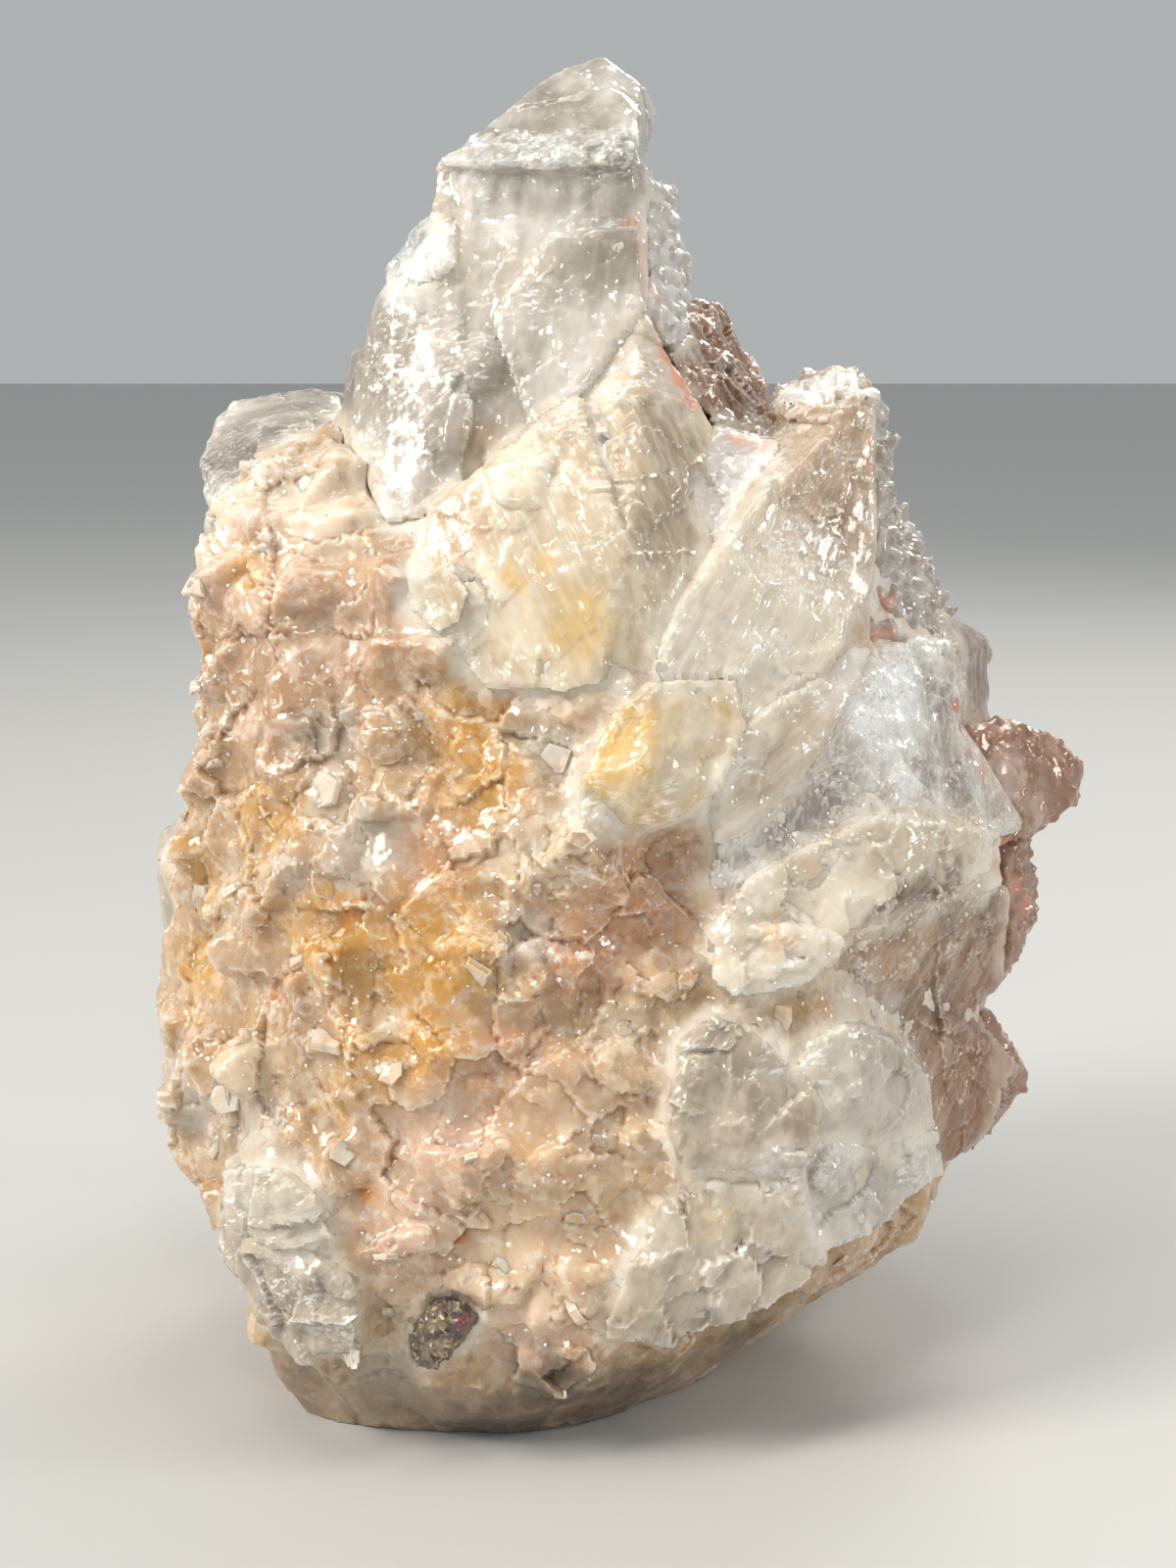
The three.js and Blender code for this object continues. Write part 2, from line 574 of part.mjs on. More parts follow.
// A solid back as a mesh, flat-faced, in its own material
function meshOf(name, body, colour, roughness, metalness = 0) {
  const { vertProperties, triVerts } = body.getMesh();
  const geometry = new THREE.BufferGeometry();
  geometry.setAttribute("position", new THREE.BufferAttribute(vertProperties, 3));
  geometry.setIndex(new THREE.BufferAttribute(triVerts, 1));
  geometry.computeVertexNormals();
  const material = new THREE.MeshStandardMaterial({
    color: colour, roughness, metalness, flatShading: true,
  });
  const mesh = new THREE.Mesh(geometry, material);
  mesh.name = name;
  return mesh;
}

// The pieces from the front of the specimen to its back. Each keeps its full shape in front of
// the pieces after it, which are cut back around it.
const PIECES = [
  ["ore_grain", oreGrain, ORE, 0.35, 0.7],
  ["tongue_crystal", tongue, MILK, 0.35],
  ["round_crystal", roundCrystal, MILK, 0.3],
  ["lower_crystal", lowerCrystal, MILK, 0.35],
  ["foot_crystal", footCrystal, MILK, 0.4],
  ["step_crystal", stepCrystal, MILK, 0.3],
  ["milky_knob", milkyKnob, MILK, 0.45],
  ["amber_crystal", amber, AMBER, 0.35],
  ["long_crystal", longCrystal, CREAM, 0.35],
  ["side_chip", sideChip, MILK, 0.15],
  ["notch_wedge", wedge, MILK, 0.5],
  ["blade_crystal", blade, TAN, 0.3],
  ["centre_crystal", centre, CREAM, 0.4],
  ["ridge_crystal", ridge, CREAM, 0.4],
  ["mirror_crystal", mirror, SILVER, 0.12],
  ["side_column", sideColumn, BROWN, 0.35],
  ["pink_point", pinkPoint, PINK, 0.45],
  ["middle_rim", middleRim, PINK, 0.5],
  ["corner_rim", cornerRim, PINK, 0.5],
  ["fan_crystal", fan, SMOKE, 0.35],
  ["blade_druse", bladeDruse, SMOKE, 0.3],
  ["crown_crystal", crown, SMOKE, 0.2],
  ["crown_druse", crownDruse, SMOKE, 0.3],
  ["brown_stilbite", brownStilbite, BROWN, 0.4],
  ["shoulder_crystal", shoulder, SMOKE, 0.2],
  ["rear_left_crystal", rearLeft, SMOKE, 0.25],
];

const specimen = new THREE.Group();
const ground = groundBlock();
const cutters = [];
const sockets = [];
for (const [name, blocks, colour, roughness, metalness] of PIECES) {
  let body = join(blocks.map(hull)).subtract(ground);
  for (const cutter of cutters) body = body.subtract(cutter);
  specimen.add(meshOf(name, largestBody(body), colour, roughness, metalness));
  cutters.push(...blocks.map(grownHull));
  sockets.push(...blocks.map(socketHull));
}
let matrix = join([matrixBody(), ...frontLumps(), ...leftLumps(), ...backCrystals(), ...plates()]);
matrix = matrix.subtract(ground);
for (const socket of sockets) matrix = matrix.subtract(socket);
specimen.add(meshOf("matrix", largestBody(matrix), PEACH, 0.6));

export default specimen;
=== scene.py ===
import math
import random

import bmesh
import bpy
from mathutils import Euler, Matrix, Vector, noise
from mathutils.bvhtree import BVHTree


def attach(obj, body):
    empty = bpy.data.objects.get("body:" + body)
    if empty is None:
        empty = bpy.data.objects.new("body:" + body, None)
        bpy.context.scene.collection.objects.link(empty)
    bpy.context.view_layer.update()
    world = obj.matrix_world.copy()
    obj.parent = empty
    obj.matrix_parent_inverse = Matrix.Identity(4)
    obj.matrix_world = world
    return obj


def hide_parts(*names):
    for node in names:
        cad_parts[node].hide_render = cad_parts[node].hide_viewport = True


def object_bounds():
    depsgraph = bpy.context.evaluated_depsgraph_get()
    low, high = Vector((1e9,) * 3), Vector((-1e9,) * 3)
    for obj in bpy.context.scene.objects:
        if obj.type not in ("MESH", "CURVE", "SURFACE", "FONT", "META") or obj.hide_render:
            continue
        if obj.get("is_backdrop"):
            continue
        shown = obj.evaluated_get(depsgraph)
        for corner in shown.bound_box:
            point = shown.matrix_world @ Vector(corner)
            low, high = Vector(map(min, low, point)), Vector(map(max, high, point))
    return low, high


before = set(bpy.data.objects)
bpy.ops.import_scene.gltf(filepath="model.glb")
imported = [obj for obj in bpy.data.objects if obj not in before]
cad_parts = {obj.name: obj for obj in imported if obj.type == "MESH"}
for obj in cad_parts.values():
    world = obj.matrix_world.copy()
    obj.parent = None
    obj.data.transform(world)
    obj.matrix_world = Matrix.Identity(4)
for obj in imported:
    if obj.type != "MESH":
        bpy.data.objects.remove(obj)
cad_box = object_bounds()
scene = bpy.context.scene

# Camera: level with the crown, 29 cm in front of the specimen, looking 11 degrees down on it,
# as the photograph was taken.
camera = bpy.data.objects.new("camera", bpy.data.cameras.new("camera"))
camera.data.lens = 58.5
camera.data.sensor_width = 36
camera.data.clip_start = 0.01
camera.location = (0, -0.29, 0.119)
camera.rotation_euler = (math.radians(79), 0, 0)
scene.collection.objects.link(camera)
scene.camera = camera

# Studio: a plain pale floor under an even grey surround. A large soft lamp stands up at the left and
# a long panel hangs overhead. Two small lamps give glints in front and at the left, one fills the
# right side, and one glows behind.
floor_material = bpy.data.materials.new("pale_floor")
floor_material.use_nodes = True
floor_shader = floor_material.node_tree.nodes["Principled BSDF"]
floor_shader.inputs["Base Color"].default_value = (0.56, 0.56, 0.55, 1)
floor_shader.inputs["Roughness"].default_value = 0.6
floor_mesh = bmesh.new()
bmesh.ops.create_grid(floor_mesh, x_segments=1, y_segments=1, size=3)
floor = bpy.data.objects.new("floor", bpy.data.meshes.new("floor"))
floor_mesh.to_mesh(floor.data)
floor_mesh.free()
floor.data.materials.append(floor_material)
scene.collection.objects.link(floor)
floor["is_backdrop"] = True

scene.view_settings.view_transform = "Standard"
surround = bpy.data.worlds.new("surround")
surround.use_nodes = True
surround.node_tree.nodes["Background"].inputs["Color"].default_value = (0.90, 0.94, 0.95, 1)
surround.node_tree.nodes["Background"].inputs["Strength"].default_value = 0.47
scene.world = surround
middle = Vector((0, -0.02, 0.07))
for name, place, width, height, power in (
        ("key", (-0.62, -0.35, 0.66), 0.30, 0.30, 6.0),
        ("overhead", (0.05, -0.10, 0.75), 0.60, 0.12, 1.6),
        ("front_glint", (0.10, -0.70, 0.45), 0.06, 0.06, 0.45),
        ("left_glint", (-0.70, -0.10, 0.30), 0.06, 0.06, 0.45),
        ("side_fill", (0.62, -0.08, 0.27), 0.10, 0.10, 0.75),
        ("back_glow", (0.25, 0.50, 0.50), 0.25, 0.25, 1.6)):
    lamp = bpy.data.objects.new(name, bpy.data.lights.new(name, "AREA"))
    lamp.data.shape = "RECTANGLE"
    lamp.data.size = width
    lamp.data.size_y = height
    lamp.data.energy = power
    lamp.data.color = (1.0, 0.95, 0.88)
    lamp.location = place
    lamp.rotation_euler = (middle - Vector(place)).to_track_quat("-Z", "Y").to_euler()
    scene.collection.objects.link(lamp)

# Matrix: sugary, granular rock of fused cleavage grains, peach to cream with ochre and mauve
# stains. Every crystal is rooted in it. Its broken front is rough with small flat flakes.
MM = 0.001


# A flat chip of its own height and tilt in each cell of scattered points. Places are in mm.
def chips(place, size, step, tilt):
    seed = noise.voronoi(place / size)[1][0]
    lean = noise.cell_vector(seed * 91.7) - Vector((0.5, 0.5, 0.5))
    turn = noise.cell_vector(seed * 53.3 + Vector((7, 3, 5))) - Vector((0.5, 0.5, 0.5))
    return 2 * step * lean.x + 2 * tilt * size * turn.dot(place / size - seed)


# Ribs that run along a crystal, `pitch` mm apart and `length` times as long as that
def ribs(place, along, pitch, height, length=9):
    run = place.dot(along)
    across = (place - along * run) / pitch + along * (run / (pitch * length))
    return height * noise.noise(across)


# Growth steps: flats that fall off sharply by `height`, one every `pitch` mm in the direction `down`
def steps(place, down, pitch, height):
    run = place.dot(down) / pitch + 0.9 * noise.noise(place / 6)
    return height * (0.5 - abs(run % 1 - 0.8) * 1.4)


# The shape as one closed skin, meshed evenly in steps of `cell` mm
def evened(shape, cell):
    lump = bpy.data.objects.new("lump", bpy.data.meshes.new("lump"))
    shape.to_mesh(lump.data)
    scene.collection.objects.link(lump)
    remesh = lump.modifiers.new("even", "REMESH")
    remesh.mode = "VOXEL"
    remesh.voxel_size = cell * MM
    mesh = bpy.data.meshes.new_from_object(lump.evaluated_get(bpy.context.evaluated_depsgraph_get()))
    bpy.data.objects.remove(lump)
    shape.clear()
    shape.from_mesh(mesh)
    bpy.data.meshes.remove(mesh)
    return shape


# Moves the surface outwards by `swell` and by the relief that the function gives, both in mm
def displace(shape, swell, relief):
    shape.normal_update()
    moved = [vert.co + vert.normal * MM * (swell + relief(vert.co / MM, vert.normal))
             for vert in shape.verts]
    for vert, place in zip(shape.verts, moved):
        vert.co = place


# Joins what one mesh holds to another, and empties it
def hand_over(part, whole):
    carried = bpy.data.meshes.new("carried")
    part.to_mesh(carried)
    whole.from_mesh(carried)
    bpy.data.meshes.remove(carried)
    part.clear()


# Small blunt crystals or flakes for `crust`, set wherever `where` allows on the surface, `apart` mm
# from each other: a number of faces round out of `sides`, `stand` times as tall as wide, leaning up
# to `sway`, and sunk or raised by `rise` of their height. Flakes get a rim of their own.
def encrust(shape, crust, where, apart, size, sides, stand, taper, sway, rise, seed, rim=0):
    dice = random.Random(seed)
    shape.normal_update()
    spots = [(vert.co.copy(), vert.normal.copy()) for vert in shape.verts
             if where(vert.co / MM, vert.normal)]
    dice.shuffle(spots)
    taken = {}
    batch = bmesh.new()
    for place, normal in spots:
        key = tuple(int(value // (apart * MM)) for value in place)
        near = [taken.get((key[0] + i, key[1] + j, key[2] + k))
                for i in (-1, 0, 1) for j in (-1, 0, 1) for k in (-1, 0, 1)]
        if any(other is not None and (other - place).length < apart * MM for other in near):
            continue
        taken[key] = place
        radius = dice.uniform(*size) * MM
        turn = Euler([dice.uniform(-sway, sway) for _ in "xy"] + [0]).to_matrix()
        turn = normal.to_track_quat("Z", "Y").to_matrix() @ turn
        turn = turn @ Euler((0, 0, dice.uniform(0, 6.28))).to_matrix()
        tall = 2 * radius * stand * dice.uniform(0.7, 1.3)
        fit = (Matrix.Translation(place + normal * tall * rise) @ turn.to_4x4()
               @ Matrix.Diagonal((1, dice.uniform(0.55, 1), 1, 1)))
        around_it = dice.choice(sides)
        grain = bmesh.ops.create_cone(batch, cap_ends=True, cap_tris=False, segments=around_it,
                                      radius1=radius, radius2=radius * taper, depth=tall)
        if rim:
            broken = [dice.uniform(0.55, 1.25) for _ in range(around_it)]
            for vert in grain["verts"]:
                corner = round(math.atan2(vert.co.y, vert.co.x) / (2 * math.pi) * around_it)
                vert.co.x *= broken[corner % around_it]
                vert.co.y *= broken[corner % around_it]
        bmesh.ops.transform(batch, matrix=fit, verts=grain["verts"])
        if rim:
            top = max({face for vert in grain["verts"] for face in vert.link_faces},
                      key=lambda face: (face.calc_center_median() - place).dot(normal))
            bmesh.ops.inset_individual(batch, faces=[top], thickness=rim * MM, use_even_offset=True)
        if len(batch.verts) > 500:
            hand_over(batch, crust)
    hand_over(batch, crust)
    batch.free()


# A piece's copy of its CAD node, closed and merged
def blank(node):
    shape = bmesh.new()
    shape.from_mesh(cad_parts[node].data)
    bmesh.ops.remove_doubles(shape, verts=shape.verts, dist=1e-6)
    return shape


# The pieces around each node, kept once made
around = {}


# How close a place is to the other pieces around a node: 1 against one, 0 from `reach` mm on
def against(node, reach):
    if node not in around:
        others = bmesh.new()
        for other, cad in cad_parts.items():
            if other != node:
                others.from_mesh(cad.data)
        around[node] = BVHTree.FromBMesh(others)
        others.free()

    def closeness(place):
        away = around[node].find_nearest(place * MM, reach * MM)[3]
        return 0 if away is None else 1 - away / (reach * MM)
    return closeness


# Turns the finished shape into the object that stands for the node. How sharply the surface
# bends at each point is kept as "edge", for frosted rims and painted shade in hollows, and how near
# it is to another piece as "join", where both pieces take on one tone and are painted lighter
# against the shade that falls in the join.
def settle(shape, node, material, crease=32, name="_grown"):
    for vert in shape.verts:
        vert.co.z = max(vert.co.z, 0)
    shape.normal_update()
    bend = shape.verts.layers.float.new("edge")
    join = shape.verts.layers.float.new("join")
    beside = against(node, reach=5)
    for vert in shape.verts:
        links = [edge.other_vert(vert).co - vert.co for edge in vert.link_edges]
        vert[join] = beside(vert.co / MM)
        vert[bend] = (-sum(link.normalized().dot(vert.normal) for link in links) / max(len(links), 1)
                      * (1 - vert[join]))
    piece = bpy.data.objects.new(node + name, bpy.data.meshes.new(node + name))
    shape.to_mesh(piece.data)
    shape.free()
    for face in piece.data.polygons:
        face.use_smooth = True
    piece.data.set_sharp_from_angle(angle=math.radians(crease))
    piece.data.materials.append(material)
    scene.collection.objects.link(piece)
    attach(piece, "root")
    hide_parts(node)


# A value or colour in a material's nodes. Arithmetic on it adds the Math nodes.
class Signal:
    def __init__(self, finish, socket):
        self.finish = finish
        self.socket = socket

    def maths(self, operation, *values):
        return self.finish.node("ShaderNodeMath", {"operation": operation}, dict(enumerate(values)))

    def __add__(self, other):
        return self.maths("ADD", self, other)

    def __sub__(self, other):
        return self.maths("SUBTRACT", self, other)

    def __rsub__(self, other):
        return self.maths("SUBTRACT", other, self)

    def __mul__(self, other):
        return self.maths("MULTIPLY", self, other)

    __radd__ = __add__
    __rmul__ = __mul__

    def most(self, other):
        return self.maths("MAXIMUM", self, other)

    def between(self, low, high, reach=1.0):
        return self.finish.node("ShaderNodeMapRange", {"interpolation_type": "SMOOTHSTEP"},
                                {0: self, 1: low, 2: high, 4: reach})


# A mineral's finish: a Principled shader with its fixed values, and the patterns that feed it
class Finish:
    def __init__(self, name, **fixed):
        self.material = bpy.data.materials.new(name)
        self.material.use_nodes = True
        self.tree = self.material.node_tree
        self.shaders = []
        self.surface = self.principled(self.tree.nodes["Principled BSDF"], fixed)
        place = self.node("ShaderNodeTexCoord", output="Object")
        self.place = self.vector("SCALE", place, scale=1000)
        self.ragged = self.wandering(0.35, 3, 7)
        self.crumpled = self.wandering(0.9, 1, 1.4)
        self.broken = {}

    # The place, shifted to and fro by up to half of `reach` mm
    def wandering(self, scale, detail, reach):
        drift = self.node("ShaderNodeTexNoise", {},
                          {"Vector": self.place, "Scale": scale, "Detail": detail}, "Color")
        drift = self.vector("SUBTRACT", drift, (0.5, 0.5, 0.5))
        return self.vector("ADD", self.place, self.vector("SCALE", drift, scale=reach))

    def principled(self, shader, fixed):
        for key, value in fixed.items():
            shader.inputs[key.replace("_", " ")].default_value = value
        self.shaders.append(shader)
        return Signal(self, shader.outputs[0])

    def node(self, kind, settings=None, inputs=None, output=0):
        made = self.tree.nodes.new(kind)
        for key, value in (settings or {}).items():
            setattr(made, key, value)
        for key, value in (inputs or {}).items():
            if isinstance(value, Signal):
                self.tree.links.new(value.socket, made.inputs[key])
            else:
                made.inputs[key].default_value = value
        return Signal(self, made.outputs[output])

    def vector(self, operation, *values, scale=None, output=0):
        inputs = dict(enumerate(values))
        if scale is not None:
            inputs["Scale"] = scale
        return self.node("ShaderNodeVectorMath", {"operation": operation}, inputs, output)

    def mix(self, factor, first, second, blend="MIX"):
        first, second = [value if isinstance(value, Signal) else (*value, 1)
                         for value in (first, second)]
        return self.node("ShaderNodeMix", {"data_type": "RGBA", "blend_type": blend},
                         {0: factor, 6: first, 7: second}, 2)

    # Soft noise with features of about `size` mm, drawn out along a crystal's length if given
    def cloud(self, size, detail=3, along=None, stretch=1, rough=0.55):
        place = self.place
        if along is not None:
            turn = Vector(along).to_track_quat("Z", "Y").to_euler()
            place = self.node("ShaderNodeMapping", {"vector_type": "TEXTURE"},
                              {"Vector": place, "Rotation": turn, "Scale": (1, 1, stretch)})
        return self.node("ShaderNodeTexNoise", {}, {"Vector": place, "Scale": 1 / size,
                                                    "Detail": detail, "Roughness": rough})

    # Ragged cells of about `size` mm, made once for each size. Their colour is another in each cell.
    def cells(self, size):
        if size not in self.broken:
            self.broken[size] = self.node("ShaderNodeTexVoronoi", {},
                                          {"Vector": self.crumpled, "Scale": 1 / size}, "Color")
        return self.broken[size]

    # From 0 to 1 on the way from one place to another, in mm
    def towards(self, start, end):
        way = Vector(end) - Vector(start)
        reach = self.vector("DOT_PRODUCT", self.ragged, tuple(way / way.length_squared), output="Value")
        low = Vector(start).dot(way) / way.length_squared
        return reach.between(low, low + 1)

    # Round spots with ragged borders, as a mask: (x, y, z, radius) in mm. Their borders are soft over
    # `blur` of the radius each way. Small ones stay in place.
    def spots(self, *spots, strength=1.0, blur=0.7):
        total = None
        for x, y, z, radius in spots:
            ground = self.ragged if radius > 1.5 else self.crumpled
            away = self.vector("DISTANCE", ground, (x, y, z), output="Value")
            spot = away.between(radius * (1 + blur), radius * (1 - blur), strength)
            total = spot if total is None else total.most(spot)
        return total

    def stain(self, base, colour, strength, *spots, blur=0.7):
        return self.mix(self.spots(*spots, strength=strength, blur=blur), base, colour)

    # The surface broken into facets, each with a lean of its own: (size in mm, lean) layers
    def facets(self, *layers):
        normal = self.node("ShaderNodeNewGeometry", output="Normal")
        for size, lean in layers:
            facet = self.vector("SUBTRACT", self.cells(size), (0.5, 0.5, 0.5))
            normal = self.vector("ADD", normal, self.vector("SCALE", facet, scale=lean * 2))
        return self.vector("NORMALIZE", normal)

    # Grooves `depth` mm deep in a surface that has a normal already
    def bump(self, height, depth, normal):
        return self.node("ShaderNodeBump", {}, {"Height": height, "Distance": depth * MM,
                                                "Strength": 1.0, "Normal": normal})

    # How sharply the surface bends: above 0 on a rim, below 0 in a hollow
    def edge(self):
        return self.node("ShaderNodeAttribute", {"attribute_name": "edge"}, output="Fac")

    # How near another piece is, from 0 to 1
    def join(self):
        return self.node("ShaderNodeAttribute", {"attribute_name": "join"}, output="Fac")

    # The tone that pieces share along their joins, with painted shade in the valley on the right, and
    # painted light that makes each join paler against the shade that falls in it
    def joined(self, colour):
        tone = self.mix(self.cloud(7, 2).between(0.40, 0.60), (0.66, 0.55, 0.42), (0.90, 0.84, 0.74))
        tone = self.stain(tone, (0.48, 0.31, 0.23), 0.9, (52, -4, 62, 9), (50, -4, 46, 9),
                          (47, -4, 30, 9), (42, -2, 74, 6), (19, -1, 109, 7))
        # Painted shade: the dark valley below the ridge, where it meets the fan
        tone = self.stain(tone, (0.36, 0.23, 0.16), 0.8, (39.5, -22, 54.5, 3.5), (34, -29, 55, 3),
                          (28.5, -33.5, 50, 2.5))
        join = self.join()
        share = (join + self.cloud(3, 1) * 0.5 - 0.25).between(0.35, 0.90, 0.75)
        colour = self.mix(share, colour, tone)
        # Painted light: paler right at the join, against the shade that falls in it
        return self.mix(join.between(0.80, 1.0, 0.5), colour, self.mix(0.35, tone, (1.0, 0.98, 0.95)))

    # Another stone over what is there, as much as `share` says
    def cover(self, share, colour, **fixed):
        shader = self.tree.nodes.new("ShaderNodeBsdfPrincipled")
        over = self.principled(shader, fixed)
        self.tree.links.new(colour.socket, shader.inputs["Base Color"])
        self.surface = self.node("ShaderNodeMixShader", {}, {0: share, 1: self.surface, 2: over})
        self.tree.links.new(self.surface.socket, self.tree.nodes["Material Output"].inputs["Surface"])

    # The tint that deep clear stone takes on
    def absorb(self, tint, density):
        depth = self.node("ShaderNodeVolumeAbsorption", {}, {"Color": (*tint, 1), "Density": density})
        self.tree.links.new(depth.socket, self.tree.nodes["Material Output"].inputs["Volume"])

    def feed(self, **signals):
        for key, value in signals.items():
            for shader in self.shaders:
                if not shader.inputs[key.replace("_", " ")].is_linked:
                    self.tree.links.new(value.socket, shader.inputs[key.replace("_", " ")])
        return self.material


# The width of the rock's grains, in mm
GRAIN = 4.2


# Peach rock with its stains, placed on the front and the unseen back
def rock_colour(rock):
    colour = rock.mix(rock.cloud(9, 4, rough=0.62).between(0.36, 0.64),
                      (0.52, 0.33, 0.175), (0.68, 0.48, 0.28))
    colour = rock.stain(colour, (0.87, 0.75, 0.60), 0.9,
                        (-29, -25, 98.5, 6), (-27, -28, 95.5, 3), (-36, -24, 96.5, 6), (-41, -24, 91, 3))
    colour = rock.stain(colour, (0.78, 0.55, 0.41), 0.75, (-34, -28, 89, 6), (-27, -31, 85, 6),
                        (-29, -37, 51, 3.5), (-15, -44, 36, 7), (-6, -46, 16, 6), (-18, -45, 26, 6))
    colour = rock.stain(colour, (0.52, 0.32, 0.19), 0.75, (-20, -34, 89.5, 4.5), (-36.5, -29.5, 82, 6),
                        (-23, -32.5, 83, 7), (-32, -33, 76, 8))
    colour = rock.stain(colour, (0.64, 0.34, 0.19), 0.85, (-17, -41, 62, 5), (4, -40, 57.5, 6),
                        (-1, -42, 54, 5), (-8, -44.7, 42.3, 5), (5, -39.6, 62.3, 4))
    colour = rock.stain(colour, (0.66, 0.35, 0.06), 0.95, (-35.5, -26.5, 90.5, 2.5), (-33, -34, 65.5, 4),
                        (-25, -39, 55, 6), (-16, -43, 45.5, 4.5), (-15.5, -42.5, 54.5, 6.5),
                        (-17, -42.5, 49, 5), (-13, -43, 51, 4), (-21.7, -43.6, 42, 4),
                        (-12, -36.5, 75.7, 4.5), (-11, -38.5, 71, 4.5), (-40.7, -27, 47.7, 4),
                        (-5.5, -44, 34.8, 2.5), (-41, -26.7, 59, 3), (-36.4, -37.6, 43, 3),
                        (-26.5, -40.6, 38, 2.2))
    colour = rock.stain(colour, (0.72, 0.30, 0.06), 0.9, (-22.5, -42.7, 28.6, 1.4),
                        (-13.2, -43.8, 24.5, 1.1), (-31.9, -35.7, 47.9, 1.1), (-24.5, -39, 57, 2),
                        blur=0.35)
    colour = rock.stain(colour, (0.60, 0.55, 0.48), 0.8, (-22.7, -39, 63.7, 4.5), (-26.5, -34, 73.8, 3),
                        (-6.4, -41, 55, 3), (-42, -27, 33.5, 5), (-34.5, -38, 31.7, 5),
                        (-20, -42, 8.7, 4), (-30, -37, 60, 2.5), (-4, -36, 74, 4), (4, -37, 72, 4))
    colour = rock.stain(colour, (0.82, 0.70, 0.52), 0.8, (-36.2, -39, 41, 3.5),
                        (-26.3, -36.6, 68.7, 2.4), (-20.3, -42.2, 46, 2), (-28, -40, 38.7, 2),
                        (3, -41.8, 46, 2.5), (-6, -45, 22.6, 5), (-4, -41.5, 65, 4))
    colour = rock.stain(colour, (0.90, 0.65, 0.42), 0.85, (-3, -42, 37, 6), (2, -42, 33, 5),
                        (-4, -44, 24, 6))
    pale = rock.mix(rock.cloud(14, 2).between(0.40, 0.60), (0.62, 0.49, 0.36), (0.76, 0.68, 0.57))
    colour = rock.mix(rock.towards((0, -14, 60), (0, 12, 60)), colour, pale)
    colour = rock.stain(colour, (0.60, 0.34, 0.23), 0.8, (28, 20, 70, 9), (-20, 26, 40, 8),
                        (10, 28, 95, 6), (35, 12, 40, 7), (-34, 10, 60, 6))
    return rock.stain(colour, (0.52, 0.46, 0.40), 0.8, (-5, 30, 70, 10), (20, 28, 30, 8),
                      (-30, 16, 85, 7))


# The rock's finish: tones that vary from grain to grain under a sugary net, partly painted glints,
# with pale rims, painted shade in its hollows and painted shade darkening its underside
def rock_finish(name, rim_strength, **fixed):
    glaze = {"IOR": 1.5, "Coat_Weight": 0.5, "Coat_Roughness": 0.07}
    rock = Finish(name, Subsurface_Weight=1.0, **glaze, **fixed)
    colour = rock.joined(rock_colour(rock))
    grains = rock.cells(GRAIN)
    colour = rock.mix(grains.between(0.46, 0.30, 0.1), colour, (0.44, 0.27, 0.15))
    colour = rock.mix(grains.between(0.54, 0.70, 0.10), colour, (0.84, 0.76, 0.66))
    colour = rock.mix(rock.cloud(1.8, 4, rough=0.7).between(0.48, 0.66, 0.45), colour,
                      (0.90, 0.83, 0.73))
    rim = rock.edge()
    # Painted shade: darker and warmer in the hollows, where the surface bends in
    colour = rock.mix(rim.between(-0.05, -0.30, 0.4), colour, (0.62, 0.42, 0.27), "MULTIPLY")
    colour = rock.mix(rim.between(0.10, 0.35, rim_strength), colour, (0.92, 0.87, 0.79))
    sugar = rock.cells(0.8)
    # White specks: partly the sugary grains' own white, partly painted glints
    colour = rock.mix(sugar.between(0.62, 0.70, 0.12), colour, (0.95, 0.92, 0.87))
    # Painted shade: the underside darkened low down at the front, just above the floor
    colour = rock.stain(colour, (0.10, 0.065, 0.04), 0.85, (-10, -41, 0, 8), (4, -41, 1, 9),
                        (20, -37, 4, 9), (34, -30, 6, 7), (-4, -44, 8, 4.5), blur=0.5)
    colour = rock.stain(colour, (0.30, 0.225, 0.16), 0.75, (-20, -42, 5, 6), (-28, -37, 3, 7), blur=0.5)
    lean = rock.cloud(9, 1).between(0.45, 0.6) * 0.32 + sugar.between(0.62, 0.66, 0.3) + 0.07
    rock.cover(rock.join().between(0.4, 0.8), colour, **glaze)
    return rock.feed(Base_Color=colour, Roughness=grains.between(0.3, 0.7, 0.35) + 0.06,
                     Normal=rock.facets((GRAIN, 0.22), (1.3, lean)))


beside = against("matrix", reach=3.0)


# Where the broken front is rugged, 1, and where it is smooth and glassy, 0
def rugged(place):
    return max(0, min(1, 0.5 + 2.2 * noise.noise(place / 11 + Vector((3.1, 0.4, 7.7)))))


# From 0 to 1 as a value goes from `low` to `high`
def ramp(value, low, high):
    return max(0, min(1, (value - low) / (high - low)))


# Chips of three sizes on the front, low and calm towards the resting face, and lumps on the back
def rock_relief(place, normal):
    strength = 1 - 0.5 * ramp(place.y, -8, 2)
    strength *= 0.25 + 0.75 * ramp(place.z, 6, 12)
    lumps = ramp(place.y, -12, 0) * 2.4 * noise.noise(place / 10 + Vector((4, 1, 2)))
    chipped = (chips(place, 8.5, 0.35, 0.10) + chips(place, GRAIN, 0.10, 0.09) + noise.noise(place / 5)
               + rugged(place) * chips(place, 2.2, 0.06, 0.12))
    open_share = 1 - beside(place)
    return lumps * open_share + strength * open_share * chipped


# Where crystals stand close together, milky stone fills the valleys between them, up to `below` mm
# under their faces and across gaps of twice `reach` mm. It grows out of the matrix.
def overgrown(nodes, reach, below):
    cell = 1.0
    strides = 2
    bed = blank("matrix")
    for node in nodes:
        bed.from_mesh(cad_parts[node].data)
    for stride in [reach / strides] * strides + [-(reach + below) / strides] * strides:
        evened(bed, cell)
        displace(bed, stride, lambda place, normal: 0)
    return evened(bed, cell)


def smooth(shape, verts):
    bmesh.ops.smooth_vert(shape, verts=verts, factor=0.5,
                          use_axis_x=True, use_axis_y=True, use_axis_z=True)


